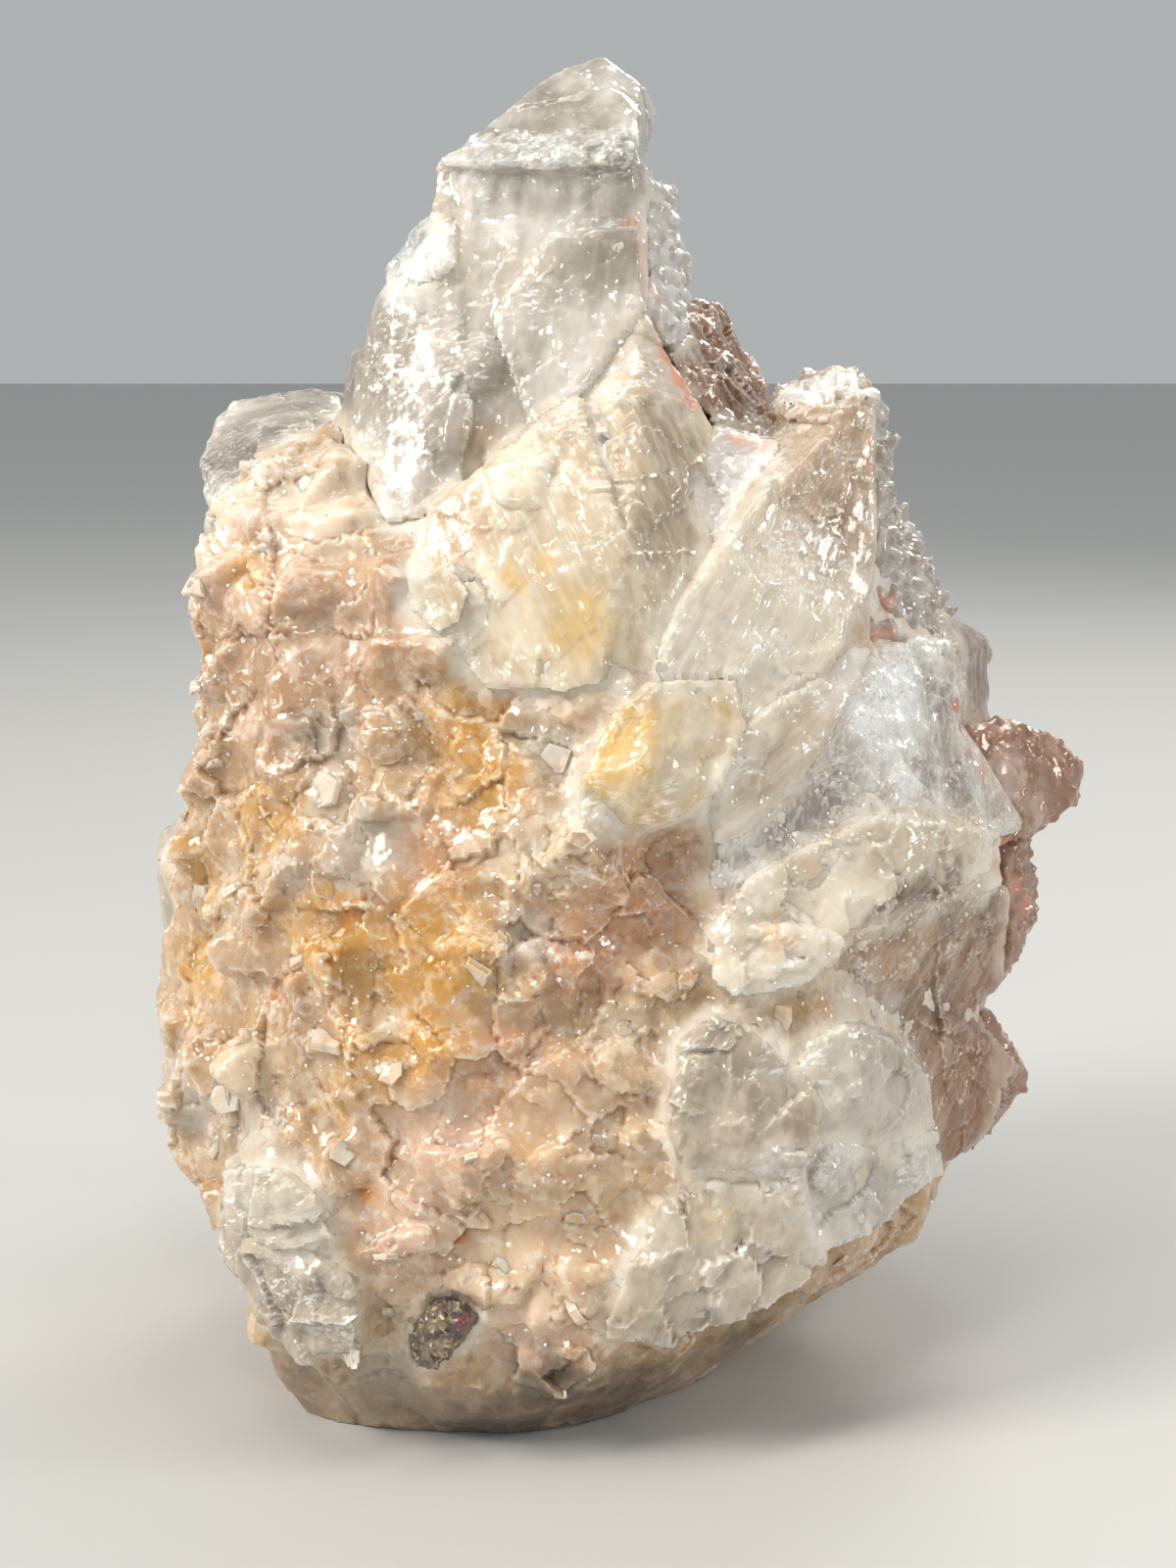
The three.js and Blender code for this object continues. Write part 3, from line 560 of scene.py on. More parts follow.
matrix = blank("matrix")
for grown_together in (
        ("tongue_crystal", "round_crystal", "lower_crystal", "foot_crystal", "ridge_crystal",
         "fan_crystal", "long_crystal", "mirror_crystal", "amber_crystal", "centre_crystal",
         "step_crystal", "milky_knob"),
        ("blade_crystal", "blade_druse", "mirror_crystal", "side_column", "long_crystal")):
    hand_over(overgrown(grown_together, reach=4.5, below=0.45), matrix)
evened(matrix, cell=0.55)
smooth(matrix, matrix.verts)
for _ in range(5):
    smooth(matrix, [vert for vert in matrix.verts if vert.co.y > -8 * MM and vert.co.z > 5 * MM])
displace(matrix, 0.2, rock_relief)


def open_front(place, normal):
    return (normal.y < 0.1 and place.z > 13 and place.y < -4 and beside(place) == 0
            and rugged(place) > 0.35)


def sugary_front(place, normal):
    return open_front(place, normal) and noise.noise(place / 6) > -0.05


def open_back(place, normal):
    return ((normal.y > 0.1 or normal.x > 0.6) and place.y > -6 and place.z > 8
            and beside(place) == 0 and noise.noise(place / 13) > -0.12)


flakes = bmesh.new()
encrust(matrix, flakes, open_front, apart=7.5, size=(0.8, 2.3), sides=(5, 6, 7), stand=0.2, taper=0.9,
        sway=0.7, rise=-0.25, seed=3, rim=0.25)
glitter = bmesh.new()
encrust(matrix, glitter, sugary_front, apart=1.7, size=(0.12, 0.34), sides=(4, 5), stand=0.6,
        taper=0.6, sway=0.8, rise=0, seed=8)
blunt = bmesh.new()
encrust(matrix, blunt, open_back, apart=3.4, size=(0.9, 2.6), sides=(4,), stand=0.75, taper=0.5,
        sway=0.5, rise=0.02, seed=11)

# The matrix is thinned where it is hidden, at the back and underneath, to keep within its triangles
MOST_TRIANGLES = 190000
unseen = [vert.index for vert in matrix.verts
          if beside(vert.co / MM) > 0.5 or vert.normal.y > 0.2 or vert.co.z < MM]
thinned = bpy.data.objects.new("thinned", bpy.data.meshes.new("thinned"))
matrix.to_mesh(thinned.data)
scene.collection.objects.link(thinned)
thinned.vertex_groups.new(name="unseen").add(unseen, 1.0, "REPLACE")
thin = thinned.modifiers.new("thin", "DECIMATE")
thin.ratio = min(1, MOST_TRIANGLES / (2 * len(matrix.faces)))
thin.vertex_group = "unseen"
matrix.clear()
matrix.from_mesh(thinned.evaluated_get(bpy.context.evaluated_depsgraph_get()).to_mesh())
bpy.data.objects.remove(thinned)
settle(matrix, "matrix", rock_finish(
    "granular_matrix", 0.35, Subsurface_Radius=(1, 0.91, 0.82), Subsurface_Scale=0.002))
settle(flakes, "matrix", rock_finish(
    "cleaved_flakes", 0.5, Subsurface_Radius=(1, 1, 1), Subsurface_Scale=0.0008),
    crease=20, name="_flakes")
settle(blunt, "matrix", rock_finish(
    "blunt_crystals", 0.5, Subsurface_Radius=(1, 0.97, 0.93), Subsurface_Scale=0.001),
    crease=20, name="_blunt")

# Crown crystal: one tall smoky apophyllite with fibres along its length, a leaning tip and a
# rough white ledge. A clear chip leans on its left edge, and a crust of small clear crystals
# follows its right edge along a thin salmon seam.
SEAM = [(4.9, -16.5, 125.6, 1.3), (5.4, -17.5, 123, 1.3), (5.8, -17, 120.5, 1.4),
        (6.3, -16, 117.7, 1.4), (7.2, -19, 114.8, 1.4), (8.3, -21.5, 112.2, 1.4),
        (9.4, -22, 109.8, 1.3), (10.8, -22.5, 107.8, 1.3), (12.4, -20.5, 105.6, 1.4),
        (13.6, -18, 104.2, 1.4)]


# The finish of a large crystal: two tones in veils drawn out along its length, silky fibres, spots
# of frost, and stains, each a colour, a strength, a blur and its spots. `clear` is how much of it is
# see-through in the clearest places, and `fade` a tone that it turns to from one place to another.
def crystal(name, deep, pale, along, stains=(), frost=(), veil=9, veil_stretch=3, fibre=1.0,
            fibre_strength=0.25, groove=0.05, lean=0.06, shine=(0.10, 0.35), fade=None,
            clear=0.0, tint=(0.80, 0.70, 0.56), density=25, **fixed):
    glaze = {"IOR": 1.53, "Coat_Weight": 0.5, "Coat_Roughness": 0.05}
    milk = {"Subsurface_Weight": 1.0, "Subsurface_Radius": (1, 0.94, 0.87),
            "Subsurface_Scale": 0.0016, **glaze}
    body = {"IOR": 1.53, "Transmission_Weight": 1.0} if clear else milk
    stone = Finish(name, **{**body, **fixed})
    veils = stone.cloud(veil, 4, along, veil_stretch, 0.62)
    fibres = stone.cloud(fibre, 2, along, 12, 0.65)
    colour = stone.mix(veils.between(0.34, 0.66), deep, pale)
    bare = stone.join().between(0.4, 0.8)
    for tone, strength, blur, spots in stains:
        mask = stone.spots(*spots, strength=strength, blur=blur)
        colour = stone.mix(mask, colour, tone)
        if strength > 0.9:
            bare = bare.most(mask)
    if fade is not None:
        tone, start, end = fade
        colour = stone.mix(stone.towards(start, end), colour, tone)
    colour = stone.joined(colour)
    silk = fibres.between(0.45, 0.68, fibre_strength)
    colour = stone.mix(silk, colour, tuple(0.5 * value + 0.46 for value in pale))
    rim = stone.edge().between(0.05, 0.30, 0.45)
    colour = stone.mix(rim, colour, (0.92, 0.90, 0.86))
    grit = stone.cells(0.9)
    tilt = grit.between(0.57, 0.62, 0.22) + lean
    bare = bare.most(rim)
    if frost:
        sugar = stone.spots(*frost, blur=0.8) * stone.cloud(0.6, 3, LEVEL, 4.5, 0.7).between(0.50, 0.60)
        colour = stone.mix(sugar * 0.7, colour, (0.97, 0.96, 0.94))
        tilt = tilt.most(sugar * 0.6)
        bare = bare.most(sugar * 0.8)
    low, high = shine
    rough = veils.between(0.3, 0.7) * grit.between(0.60, 0.54) * (high - low) + low
    if clear:
        stone.cover(veils.between(0.38, 0.62).most(silk) * clear + (1 - clear), colour, **milk)
        stone.absorb(tint, density)
    stone.cover(bare, colour, **glaze)
    if clear:
        colour = stone.mix(0.35, (1, 1, 1), colour)
    return stone.feed(Base_Color=colour, Roughness=rough,
                      Normal=stone.bump(fibres, groove * 2, stone.facets((5.5, 0.05), (0.9, tilt))))


# A crystal's body: evenly meshed, with ribs along its length and shallow chips over its faces. Each
# lump in `healed`, (x, y, z, half width, half height) in mm, is grown into it first.
def cleaved(node, along, swell=0.25, ribbing=0.12, rib=1.8, chip=0.12, more=None, healed=()):
    along = Vector(along).normalized()
    beside = against(node, reach=1.8)

    def relief(place, normal):
        join = beside(place)
        rise = (ribs(place, along, rib, ribbing) + chips(place, 6.5, 0.6 * chip, 0.05)
                + chips(place, 2.3, 0.03, 0.05))
        return (1 - join) * (rise + (more(place, normal) if more else 0)) + 0.7 * join

    shape = blank(node)
    for x, y, z, across, tall in healed:
        fit = (Matrix.Translation(Vector((x, y, z)) * MM)
               @ Matrix.Diagonal((across * MM, across * MM, tall * MM, 1)))
        bmesh.ops.create_icosphere(shape, subdivisions=2, radius=1, matrix=fit)
    evened(shape, cell=0.45)
    displace(shape, swell, relief)
    return shape


# Strews small bright grains in patches along the joins of the crystals on the right, where the
# real one is sugary. They gather in one mesh, `glitter`.
def glittering(shape, node):
    beside = against(node, reach=4)

    def by_a_join(place, normal):
        return (0.25 < beside(place) < 0.93 and (normal.y < 0.2 or normal.x > 0.5)
                and 6 < place.x < 43 and noise.noise(place / 5) > 0.05)

    encrust(shape, glitter, by_a_join, apart=1.0, size=(0.22, 0.5), sides=(4, 5), stand=0.35,
            taper=0.7, sway=0.7, rise=-0.12, seed=len(node))
    return shape


UPRIGHT = (0.12, 0.36, 0.92)
LEVEL = (0.95, 0.30, 0.08)
LEFT_CREASE = [(-12.6, -22.8, 102, 2.6, 5), (-11.4, -20.8, 108.5, 3.2, 6), (-11.4, -22.2, 103.5, 3, 5)]
BELOW_LEDGE = [(x, -11.8 - 0.07 * (x + 11), 129, 4, 6.5) for x in (-10.5, -8, -5.5, -3, -0.5, 2)]


def ledge(place, normal):
    return chips(place, 2.4, 0.10, 0.10) if 131 < place.z < 135.5 and place.y < -8 else 0


crown = cleaved("crown_crystal", UPRIGHT, ribbing=0.14, rib=2.8, chip=0.2, more=ledge,
                healed=LEFT_CREASE + BELOW_LEDGE)
settle(crown, "crown_crystal", crystal(
    "smoky_crown", (0.52, 0.465, 0.385), (0.70, 0.655, 0.60), UPRIGHT, veil=13, veil_stretch=1.7,
    fibre_strength=0.2, frost=[
        (-12.5, -14.5, 133, 3), (-7, -14, 134, 3), (-2, -15.5, 133.5, 3), (3, -16, 133, 3),
        (1.2, -16.5, 125.4, 1.8), (-18.5, -22, 112, 5), (-20.5, -20, 117, 3), (-6, -21.5, 117.5, 2),
        (-20.5, -25, 102, 4), (-13, -24, 112, 3), (-12, -16, 127, 3)],
    stains=[((0.70, 0.63, 0.53), 0.8, 0.6, [(-19, -22, 110, 7), (-21, -24, 100, 5), (-8, -20, 121, 5),
                                            (2, -20, 108, 4)]),
            # Painted light: paler under the ledge, lifting the shade that the ledge casts
            ((0.92, 0.87, 0.80), 0.85, 0.7, [(-4, -15.5, 128, 4.5), (-10, -15, 127.5, 4),
                                             (2, -16, 127.5, 3.5)]),
            ((0.66, 0.48, 0.32), 0.6, 0.6, [(-11, -25, 103.6, 2.4), (-14, -25, 104, 1.6)]),
            ((0.93, 0.92, 0.90), 0.7, 0.8, [(-11.5, -15.5, 133.5, 2), (-7, -16, 133.7, 2),
                                            (-2.5, -16.3, 134, 2), (2, -16.2, 134.2, 1.8)]),
            ((0.72, 0.30, 0.16), 0.85, 0.5, SEAM[:7])],
    clear=0.45, tint=(0.90, 0.85, 0.76), density=12, shine=(0.05, 0.25)))

LEANING = (0.5, 0, 0.8)
side_chip = cleaved("side_chip", LEANING, ribbing=0.07,
                    more=lambda place, normal: chips(place, 2.2, 0.15, 0.2))
settle(side_chip, "side_chip", crystal(
    "clear_chip", (0.76, 0.77, 0.77), (0.93, 0.93, 0.93), LEANING, veil=3,
    frost=[(-15.5, -17, 125, 2.5), (-19.5, -16, 120.5, 2)],
    clear=0.5, tint=(0.95, 0.95, 0.95), density=5, shine=(0.06, 0.25)))


# The finish of the small clear crystals that crust the edges
def druse(name, tone, light, stains=(), **fixed):
    crust = Finish(name, **{
        "Subsurface_Weight": 0.5, "Subsurface_Radius": (1, 0.85, 0.72), "Subsurface_Scale": 0.0008,
        "IOR": 1.53, "Coat_Weight": 0.6, "Coat_Roughness": 0.05, **fixed})
    colour = crust.mix(crust.cells(1.3) * 0.8, tone, light)
    for shade, strength, blur, spots in stains:
        colour = crust.stain(colour, shade, strength, *spots, blur=blur)
    colour = crust.mix(crust.edge().between(0.1, 0.5, 0.6), colour, (0.95, 0.94, 0.93))
    rough = crust.cells(1.3) * 0.35 + 0.06
    return crust.feed(Base_Color=colour, Roughness=rough, Normal=crust.facets((1.3, 0.35)))


# A crusted piece: its body with blunt crystals standing over all of it that is open
def crusted(node, apart, size, stand=0.8, taper=0.35, seed=1, step=0.35, tilt=0.3):
    shape = evened(blank(node), cell=0.7)
    displace(shape, 0.1, lambda place, normal: chips(place, 3.5, step, tilt))
    encrust(shape, shape, lambda place, normal: True, apart, size, sides=(4,), stand=stand,
            taper=taper, sway=0.7, rise=0.05, seed=seed)
    return evened(shape, cell=0.42)


crown_druse = crusted("crown_druse", apart=1.7, size=(0.7, 1.5), stand=0.55, taper=0.6)
settle(crown_druse, "crown_druse", druse(
    "clear_druse", (0.50, 0.46, 0.42), (0.86, 0.84, 0.82),
    [((0.72, 0.30, 0.17), 0.9, 0.4, SEAM[:6])]))

# Shoulder crystal and the smooth grey crystal low on the left edge: clear, set back behind the
# matrix. The shoulder is cut by fine level growth lines.
shoulder = cleaved("shoulder_crystal", LEVEL, ribbing=0.09, rib=1.2,
                   more=lambda place, normal: steps(place, Vector((0.1, -0.3, 0.95)), 1.7, 0.35))
settle(shoulder, "shoulder_crystal", crystal(
    "clear_shoulder", (0.46, 0.42, 0.36), (0.72, 0.67, 0.60), LEVEL, fibre=0.7, groove=0.2,
    frost=[(-41, -12, 96, 4), (-33, -9, 103, 2.5)],
    stains=[((0.66, 0.48, 0.30), 0.5, 0.6, [(-34, -14, 99.5, 2.5)]),
            ((0.86, 0.80, 0.71), 0.8, 0.6, [(-40, -14, 95.5, 4), (-37, -17, 94.5, 3)])],
    clear=0.5, tint=(0.88, 0.84, 0.78), density=15, shine=(0.06, 0.3)))
REAR_WAY = (0.1, 0.2, 1)
rear_left = cleaved("rear_left_crystal", REAR_WAY, ribbing=0.12)
settle(rear_left, "rear_left_crystal", crystal(
    "grey_side", (0.44, 0.37, 0.29), (0.62, 0.55, 0.46), REAR_WAY, fibre_strength=0.15,
    clear=0.4, tint=(0.88, 0.82, 0.72), density=15, shine=(0.08, 0.25)))

# Centre crystal: cream and fibrous, with a streaked right face painted darker grey as shade, a white
# triangular facet, a yellow stain and a thin scale. A snow-white wedge fills the notch at its right.
DOWN_RIGHT = (0.42, -0.42, -0.80)
centre = cleaved("centre_crystal", DOWN_RIGHT, ribbing=0.16, rib=1.6, chip=0.22)
settle(centre, "centre_crystal", crystal(
    "cream_centre", (0.62, 0.50, 0.35), (0.84, 0.74, 0.57), DOWN_RIGHT, fibre_strength=0.3, groove=0.12,
    veil=8, veil_stretch=1.8,
    frost=[(-1, -27, 106.5, 3), (-16, -35, 88, 2), (5, -25, 110, 3), (0, -36, 93, 2),
           (-12, -32, 98, 1.5)],
    stains=[((0.88, 0.81, 0.68), 0.85, 0.35, [(-6, -32, 101.3, 3.2), (-9.5, -33, 99.5, 2.2)]),
            # Painted shade: the right face darker grey-brown, turned away from the lamp
            ((0.38, 0.30, 0.215), 0.85, 0.6, [(8, -27, 104, 4), (6.5, -34, 95, 4), (9.5, -30, 98, 4),
                                             (11, -31, 94, 3), (12, -27, 99, 3)]),
            ((0.68, 0.60, 0.55), 0.7, 0.6, [(8.5, -23, 109, 3.5), (5, -22, 113, 3)]),
            ((0.80, 0.58, 0.26), 0.8, 0.6, [(-1, -38, 86, 3.2), (-7, -36, 90, 1.6),
                                            (-4, -35, 92, 1.5)]),
            ((0.72, 0.48, 0.30), 0.6, 0.6, [(-14, -31.5, 96, 4), (-1.5, -26.5, 107, 1.4)]),
            ((0.72, 0.30, 0.16), 0.85, 0.5, SEAM[4:])],
    shine=(0.12, 0.4)))
WEDGE_WAY = (0.3, 0.2, 0.9)
wedge = cleaved("notch_wedge", WEDGE_WAY, chip=0.3)
settle(wedge, "notch_wedge", crystal(
    "snow_wedge", (0.70, 0.65, 0.61), (0.84, 0.80, 0.77), WEDGE_WAY, veil=3,
    frost=[(14, -25, 98.5, 4), (15.5, -22, 101, 3)],
    stains=[((0.80, 0.50, 0.38), 0.8, 0.5, [(15.5, -20, 103.8, 1.6), (18, -20.5, 103, 1.4),
                                            (13.6, -18, 104.4, 1.4)])]))

# Blade crystal: a tall plate, tan above and cream below, its fibres fanning up to the right, a
# white line across its top and an orange line down its right edge. Druse caps it and runs down
# behind its edge.
FAN_UP = (0.52, 0.30, 0.80)


def cap(place, normal):
    return chips(place, 1.7, 0.45, 0.5) if place.z > 105.5 + 0.1 * (place.x - 20) else 0


blade = cleaved("blade_crystal", FAN_UP, ribbing=0.14, rib=1.5, more=cap)
settle(blade, "blade_crystal", crystal(
    "tan_blade", (0.40, 0.28, 0.18), (0.58, 0.45, 0.33), FAN_UP, fibre=0.8, fibre_strength=0.4,
    groove=0.12, veil=7, veil_stretch=2.2, fade=((0.84, 0.76, 0.64), (24, -20, 98), (18, -30, 88)),
    frost=[(22, -12.5, 107.5, 2.5), (26, -12, 109, 3), (29.5, -11, 109, 2.5), (27, -18.5, 102, 1),
           (28.5, -18, 101, 1), (22, -27, 92, 4), (27, -23, 90, 3), (17, -31, 83, 3)],
    stains=[((0.95, 0.93, 0.88), 0.95, 0.35, [(21.5, -12.5, 107.5, 2.2), (24.5, -13, 108.2, 2.6),
                                             (28.5, -12, 109, 2.4)]),
            ((0.72, 0.38, 0.22), 0.7, 0.5, [(30, -16, 103, 0.8), (30, -17, 100.5, 0.8),
                                            (30, -18, 97, 0.8), (29.8, -20, 93, 0.8)])]))
blade_druse = crusted("blade_druse", apart=1.6, size=(0.8, 1.8), seed=2)
settle(blade_druse, "blade_druse", druse(
    "grey_druse", (0.36, 0.31, 0.27), (0.76, 0.72, 0.68),
    [((0.66, 0.34, 0.24), 0.85, 0.5, [(30.8, -19.8, 86.5, 2), (31.5, -19.9, 82.7, 1.4),
                                      (34.4, -17, 82.1, 1.2), (30.4, -21.5, 82.6, 1.2)]),
     ((0.42, 0.30, 0.24), 0.6, 0.5, [(36, -9, 88, 2), (39, -8, 83, 2.5)])]))

# Golden crystal: a small apophyllite stained by iron, wedged under the centre one. Long crystal: a
# narrow cream one that runs down and left from the blade. Both are grown on the matrix.
AMBER_WAY = (0.45, -0.1, 0.88)
amber = cleaved("amber_crystal", AMBER_WAY, ribbing=0.09)
settle(amber, "amber_crystal", crystal(
    "golden_crystal", (0.62, 0.46, 0.26), (0.80, 0.68, 0.48), AMBER_WAY, veil=5, veil_stretch=1.5,
    frost=[(0.5, -42, 69, 2.5), (7.5, -42.5, 68, 2)],
    stains=[((0.80, 0.54, 0.18), 0.85, 0.6, [(2.5, -41.3, 75, 2.6), (4.5, -40.5, 77, 2),
                                             (1.5, -42, 71.5, 2.4), (4, -42, 73, 1.6),
                                             (10.5, -41, 69.5, 1.2)]),
            ((0.74, 0.66, 0.54), 0.8, 0.6, [(11, -39, 76, 3), (9, -41, 71, 2.5)])]))
LONG_WAY = (0.72, 0.5, 0.48)
long_crystal = cleaved("long_crystal", LONG_WAY, ribbing=0.14, rib=1.4)
settle(long_crystal, "long_crystal", crystal(
    "cream_long", (0.54, 0.45, 0.34), (0.78, 0.69, 0.57), LONG_WAY, fibre_strength=0.35,
    veil=6, veil_stretch=2, fade=((0.86, 0.82, 0.76), (22, -33, 75), (27, -27, 80)),
    frost=[(24, -31, 78, 2.5), (16, -38, 72, 1.5)]))

# Mirror crystal: a silvery cleavage face with a pearly sheen, painted bright white as a reflection of
# the light, dark streaks below it, white bruises, and a brown striated column at its upper right.
STREAM = (0.30, -0.30, 0.90)
mirror = cleaved("mirror_crystal", STREAM, ribbing=0.16, rib=1.3,
                 more=lambda place, normal: steps(place, Vector((0.45, 0.45, 0.77)), 3.6, 0.4))
settle(glittering(mirror, "mirror_crystal"), "mirror_crystal", crystal(
    "silver_cleavage", (0.48, 0.41, 0.34), (0.90, 0.87, 0.83), STREAM, fibre=0.7, fibre_strength=0.55,
    veil=5, veil_stretch=3.5, groove=0.25, lean=0.16,
    frost=[(30, -25.5, 77, 4), (34, -21, 78, 3.5), (30, -27, 72, 2.5), (34, -26, 66, 3.5),
           (26, -31, 70, 2.5)],
    # Painted reflection: the cleavage face painted white where it mirrors the light
    stains=[((1.0, 1.0, 1.0), 0.98, 0.5, [(30, -24.5, 77.5, 6.5), (34, -26, 65.6, 3),
                                          (36, -25, 63.5, 2.5)]),
            ((0.34, 0.29, 0.26), 0.75, 0.6, [(19, -36, 65.5, 3), (24, -33, 67, 3),
                                             (40.5, -18.8, 66.5, 2.6), (38, -19.5, 75.5, 2.4),
                                             (15, -39, 62.5, 2.2), (36, -23.5, 69, 2)]),
            ((0.78, 0.55, 0.34), 0.6, 0.6, [(22, -35.5, 61.8, 1.8)]),
            ((0.70, 0.28, 0.18), 0.9, 0.4, [(39.8, -16.5, 74.6, 0.9), (40.6, -16.3, 72, 1),
                                            (41.6, -16, 69.5, 1), (43, -15.5, 67.2, 1)])],
    shine=(0.06, 0.3)))
COLUMN_WAY = (0.1, 0.1, 1)
column = cleaved("side_column", COLUMN_WAY, ribbing=0.18, rib=1.3)
settle(glittering(column, "side_column"), "side_column", crystal(
    "brown_column", (0.30, 0.21, 0.17), (0.50, 0.41, 0.36), COLUMN_WAY, fibre_strength=0.5))

# Ridge crystal: long cream ridges with bright broken slopes between them. Fan crystal: the
# large striated crystal below, cream at the left and salmon towards the pink corner.
RIDGE_WAY = (0.66, 0.62, 0.42)
ridge = cleaved("ridge_crystal", RIDGE_WAY, ribbing=0.3, rib=3.4, chip=0.5,
                more=lambda place, normal: chips(place, 4, 0.3, 0.12))
settle(glittering(ridge, "ridge_crystal"), "ridge_crystal", crystal(
    "cream_ridges", (0.68, 0.58, 0.45), (0.87, 0.79, 0.66), RIDGE_WAY, fibre_strength=0.25, veil=8,
    veil_stretch=2,
    frost=[(37, -27, 62.5, 3), (42, -20, 59, 2), (20, -41, 51, 2.5), (22, -41, 47, 3)],
    stains=[((0.80, 0.56, 0.34), 0.7, 0.6, [(23, -36, 61.5, 1.8), (18.5, -41.4, 54.8, 1.8)]),
            ((0.84, 0.81, 0.76), 0.85, 0.5, [(21, -41.5, 47.3, 3)]),
            # Painted shade: the dark valley below the ridge
            ((0.20, 0.13, 0.08), 0.9, 0.5, [(33.9, -30.4, 55.7, 3), (38, -26.5, 56.5, 2.8),
                                            (29.5, -33.5, 54, 2.4)]),
            ((0.70, 0.34, 0.24), 0.7, 0.5, [(45, -16.5, 56.5, 1.3)])]))
FAN_WAY = (0.45, 0.55, 0.70)
fan = cleaved("fan_crystal", FAN_WAY, ribbing=0.18, rib=1.5,
              more=lambda place, normal: steps(place, Vector((-0.3, 0.3, -0.9)), 4.5, 0.35))
settle(glittering(fan, "fan_crystal"), "fan_crystal", crystal(
    "striated_fan", (0.27, 0.165, 0.10), (0.50, 0.335, 0.215), FAN_WAY, Coat_Weight=0.2, fibre=0.8,
    fibre_strength=0.3, groove=0.12, veil=7, veil_stretch=2,
    fade=((0.28, 0.115, 0.055), (36, -24, 41), (47, -11, 32)),
    frost=[(28, -34, 50, 2), (34, -27.5, 49.5, 2), (39, -21, 49, 2), (44, -15, 48.5, 2)],
    stains=[((0.62, 0.56, 0.49), 0.8, 0.6, [(27, -35, 46, 4), (31, -30, 44, 3)]),
            # Painted shade: the dark valley along the fan's top edge
            ((0.24, 0.15, 0.10), 0.85, 0.6, [(43, -17, 52, 3), (38.5, -23, 53.5, 3.5),
                                             (32, -29, 53.5, 2.5)]),
            ((0.46, 0.22, 0.14), 0.7, 0.6, [(44, -17, 25.5, 3)])]))

# Milky crystals: rounded, tongue-shaped and broken ones along the lower right lip, and a stepped
# one with a knob at the lower left. The foot carries specks of brown dirt.
LIP_WAY = (0.3, -0.2, 0.9)


def milky(name, deep=(0.47, 0.41, 0.33), pale=(0.66, 0.61, 0.53), along=LIP_WAY, **rest):
    return crystal(name, deep, pale, along, **{"veil": 5, "veil_stretch": 1.5, "fibre_strength": 0.2,
                                               "groove": 0.06, **rest})


# Broken faces, more so the rougher the crystal is
def jagged(rough):
    def relief(place, normal):
        return chips(place, 5.5, 1.2 * rough, 0.45 * rough) + 2 * rough * noise.noise(place / 3)
    return relief


for node, finish, rough in (
        ("round_crystal", milky("milky_round", frost=[(23, -42, 42, 2)]), 0.06),
        ("tongue_crystal", milky("milky_tongue", (0.42, 0.34, 0.26), (0.60, 0.52, 0.42),
                                 frost=[(11, -45, 45, 2), (19, -43.5, 43, 2)]), 0.2),
        ("lower_crystal", milky("milky_lower", (0.54, 0.49, 0.43), (0.76, 0.72, 0.67), frost=[
            (25, -41, 31, 2.5), (33, -35, 28, 2.5), (19, -45, 31.5, 2)]), 0.28),
        ("foot_crystal", milky("milky_foot", (0.52, 0.43, 0.33), (0.72, 0.64, 0.53), stains=[
            ((0.24, 0.17, 0.12), 0.7, 0.3, [(11.5, -46, 20.6, 0.7), (14, -45.8, 21.6, 0.6),
                                            (16.3, -45.5, 22, 0.8), (18.3, -45.2, 22.6, 0.6),
                                            (20.6, -44.6, 23.2, 0.6)]),
            ((0.82, 0.66, 0.42), 0.6, 0.6, [(13, -46, 27, 2.6), (20, -44.5, 29, 2)]),
            # Painted shade: darker low on the foot, just above the floor
            ((0.26, 0.20, 0.145), 0.8, 0.5, [(8, -46.5, 13, 2.5), (13, -46, 13.5, 2.5),
                                             (18, -44.5, 14, 2.5)])]), 0.3),
        ("step_crystal", milky("milky_steps", (0.50, 0.43, 0.34), (0.74, 0.68, 0.58), along=LEVEL,
                               groove=0.2), 0.25),
        ("milky_knob", milky("milky_knob", (0.38, 0.31, 0.24), (0.60, 0.52, 0.42),
                             frost=[(-31, -44.5, 19, 4), (-26, -46.5, 15, 3)]), 0.4)):
    body = cleaved(node, LIP_WAY, chip=rough, swell=0.35, more=jagged(rough))
    settle(body, node, finish)

# Stilbite: a brown, ribbed sheaf behind the notch, a salmon point crusted with small grains at
# the right, and salmon rims down the right edge.
SHEAF_WAY = (-0.45, 0.1, 0.88)
sheaf = cleaved("brown_stilbite", SHEAF_WAY, ribbing=0.25, rib=1.5, chip=0.3,
                more=lambda place, normal: chips(place, 2.6, 0.3, 0.3))
settle(glittering(sheaf, "brown_stilbite"), "brown_stilbite", crystal(
    "brown_sheaf", (0.24, 0.12, 0.065), (0.42, 0.25, 0.155), SHEAF_WAY, fibre=0.8,
    fibre_strength=0.35, frost=[(15.5, -3, 109.5, 1.6), (17.5, -3, 107, 1.2)],
    stains=[((0.66, 0.60, 0.55), 0.7, 0.5, [(18, -4, 104.5, 2.5), (20, -2, 103.5, 1.5)]),
            ((0.42, 0.22, 0.14), 0.7, 0.6, [(12.6, -1, 116, 2), (10.7, -9, 113.5, 1.5)])]))
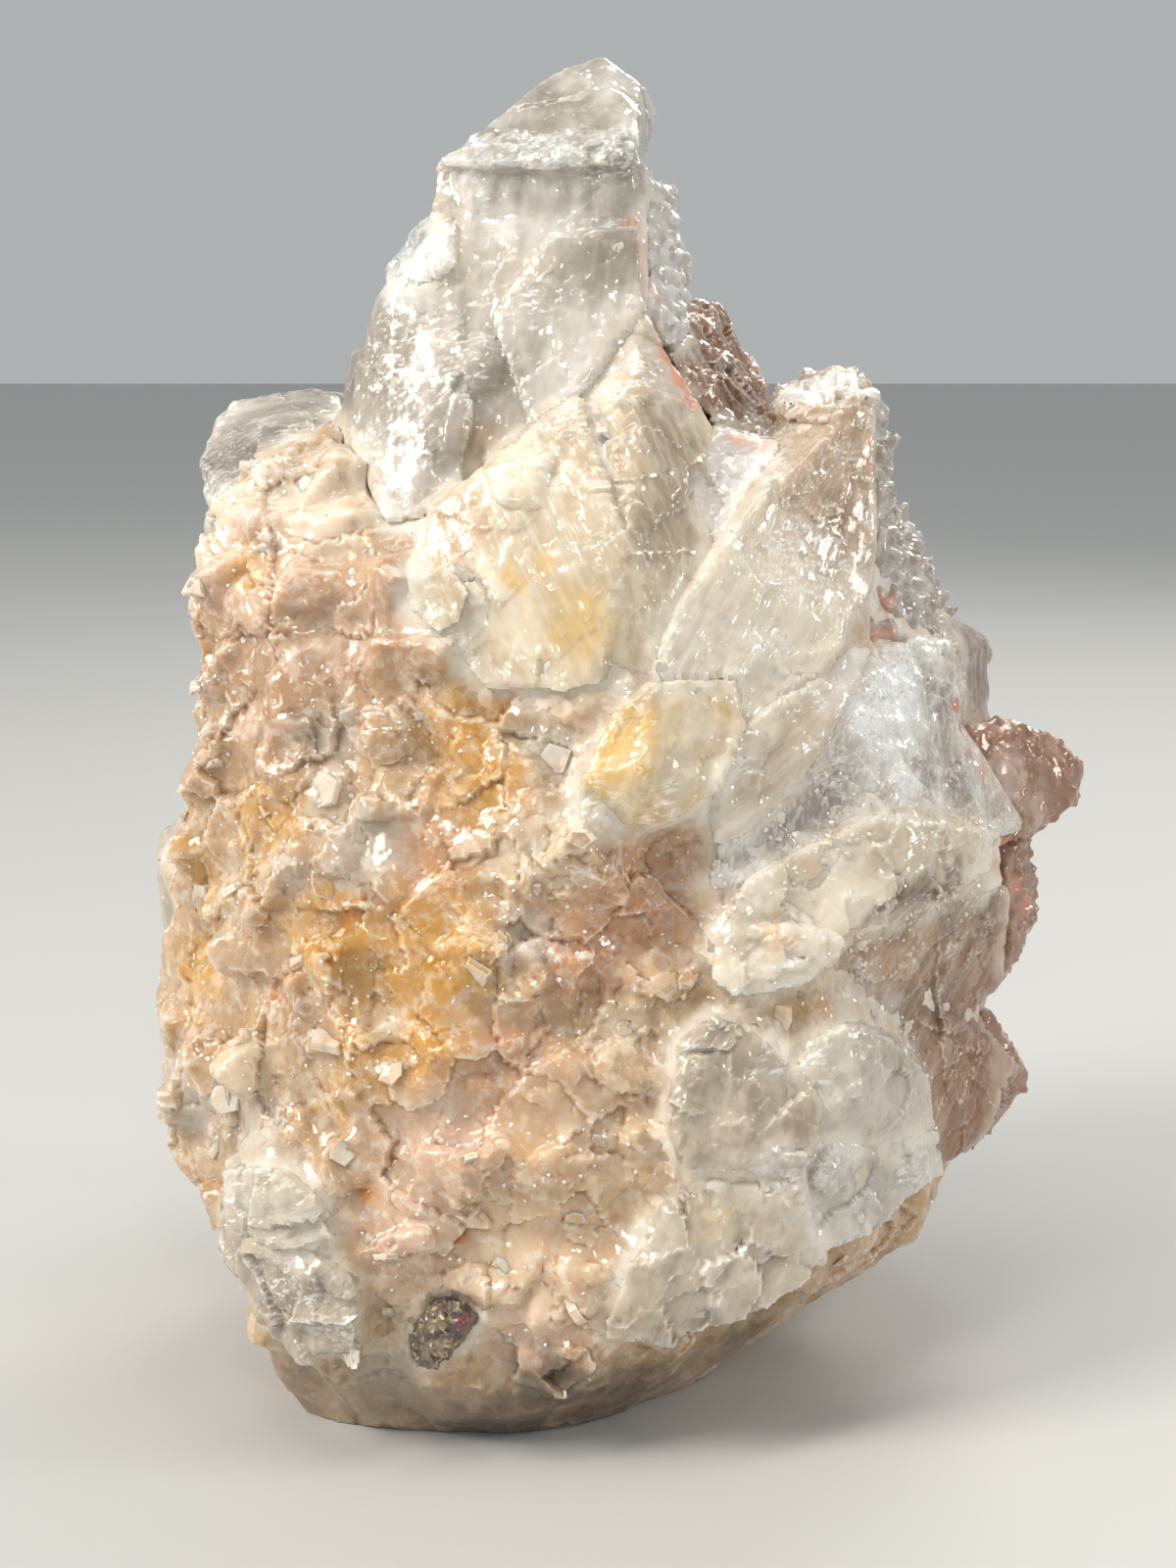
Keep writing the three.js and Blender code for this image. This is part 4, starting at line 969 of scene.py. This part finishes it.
for node, apart, size, seed in (("pink_point", 1.5, (0.5, 1.1), 4), ("middle_rim", 1.3, (0.5, 1.0), 5),
                                ("corner_rim", 1.2, (0.4, 0.8), 6)):
    crust = crusted(node, apart, size, stand=0.5, taper=0.6, seed=seed, step=0.2, tilt=0.12)
    settle(glittering(crust, node), node, druse(
        node + "_finish", (0.30, 0.155, 0.095), (0.48, 0.28, 0.19),
        [((0.66, 0.52, 0.44), 0.7, 0.6, [(47, -12, 66, 3), (50, -8, 61, 2.5)]),
         ((0.70, 0.30, 0.20), 0.8, 0.5, [(46, -14, 58.6, 1.2), (48, -10, 53, 1.2),
                                         (49.7, -7.5, 50.2, 1.5), (45, -15, 64, 1.2)])],
        Subsurface_Scale=0.002))

# Sugar grains: bright specks of clear crystal on the matrix and along the joins at the right. They
# were strewn with the pieces that carry them, and are one mesh.
settle(glitter, "matrix", druse(
    "sugar_grains", (0.84, 0.73, 0.59), (1.0, 0.94, 0.85), Subsurface_Weight=0),
    crease=20, name="_glitter")

# Ore grain: one lump of tarnished metallic ore, with tan specks and a purple spot. It is grown into
# the matrix above the lower lip.
ore = Finish("tarnished_ore", IOR=1.8)
grime = ore.cloud(1.4, 5)
tarnish = ore.mix(grime.between(0.4, 0.6), (0.09, 0.07, 0.055), (0.32, 0.26, 0.19))
tarnish = ore.mix(ore.cells(0.6).between(0.72, 0.8), tarnish, (0.50, 0.36, 0.22))
tarnish = ore.stain(tarnish, (0.24, 0.06, 0.07), 0.9, (-12.9, -47.7, 16.6, 0.9), blur=0.5)
grain = evened(blank("ore_grain"), cell=0.3)
displace(grain, 0.2, lambda place, normal: chips(place, 1.3, 0.22, 0.35) + chips(place, 0.6, 0.06, 0.3))
settle(grain, "ore_grain", ore.feed(
    Base_Color=tarnish, Metallic=grime.between(0.45, 0.6, 0.8), Roughness=ore.cells(0.5) * 0.3 + 0.15,
    Normal=ore.facets((0.7, 0.3))))

# The sizes of the solids and of the finished specimen
size = {"cad": [list(corner) for corner in cad_box], "visual": [list(corner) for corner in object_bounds()]}
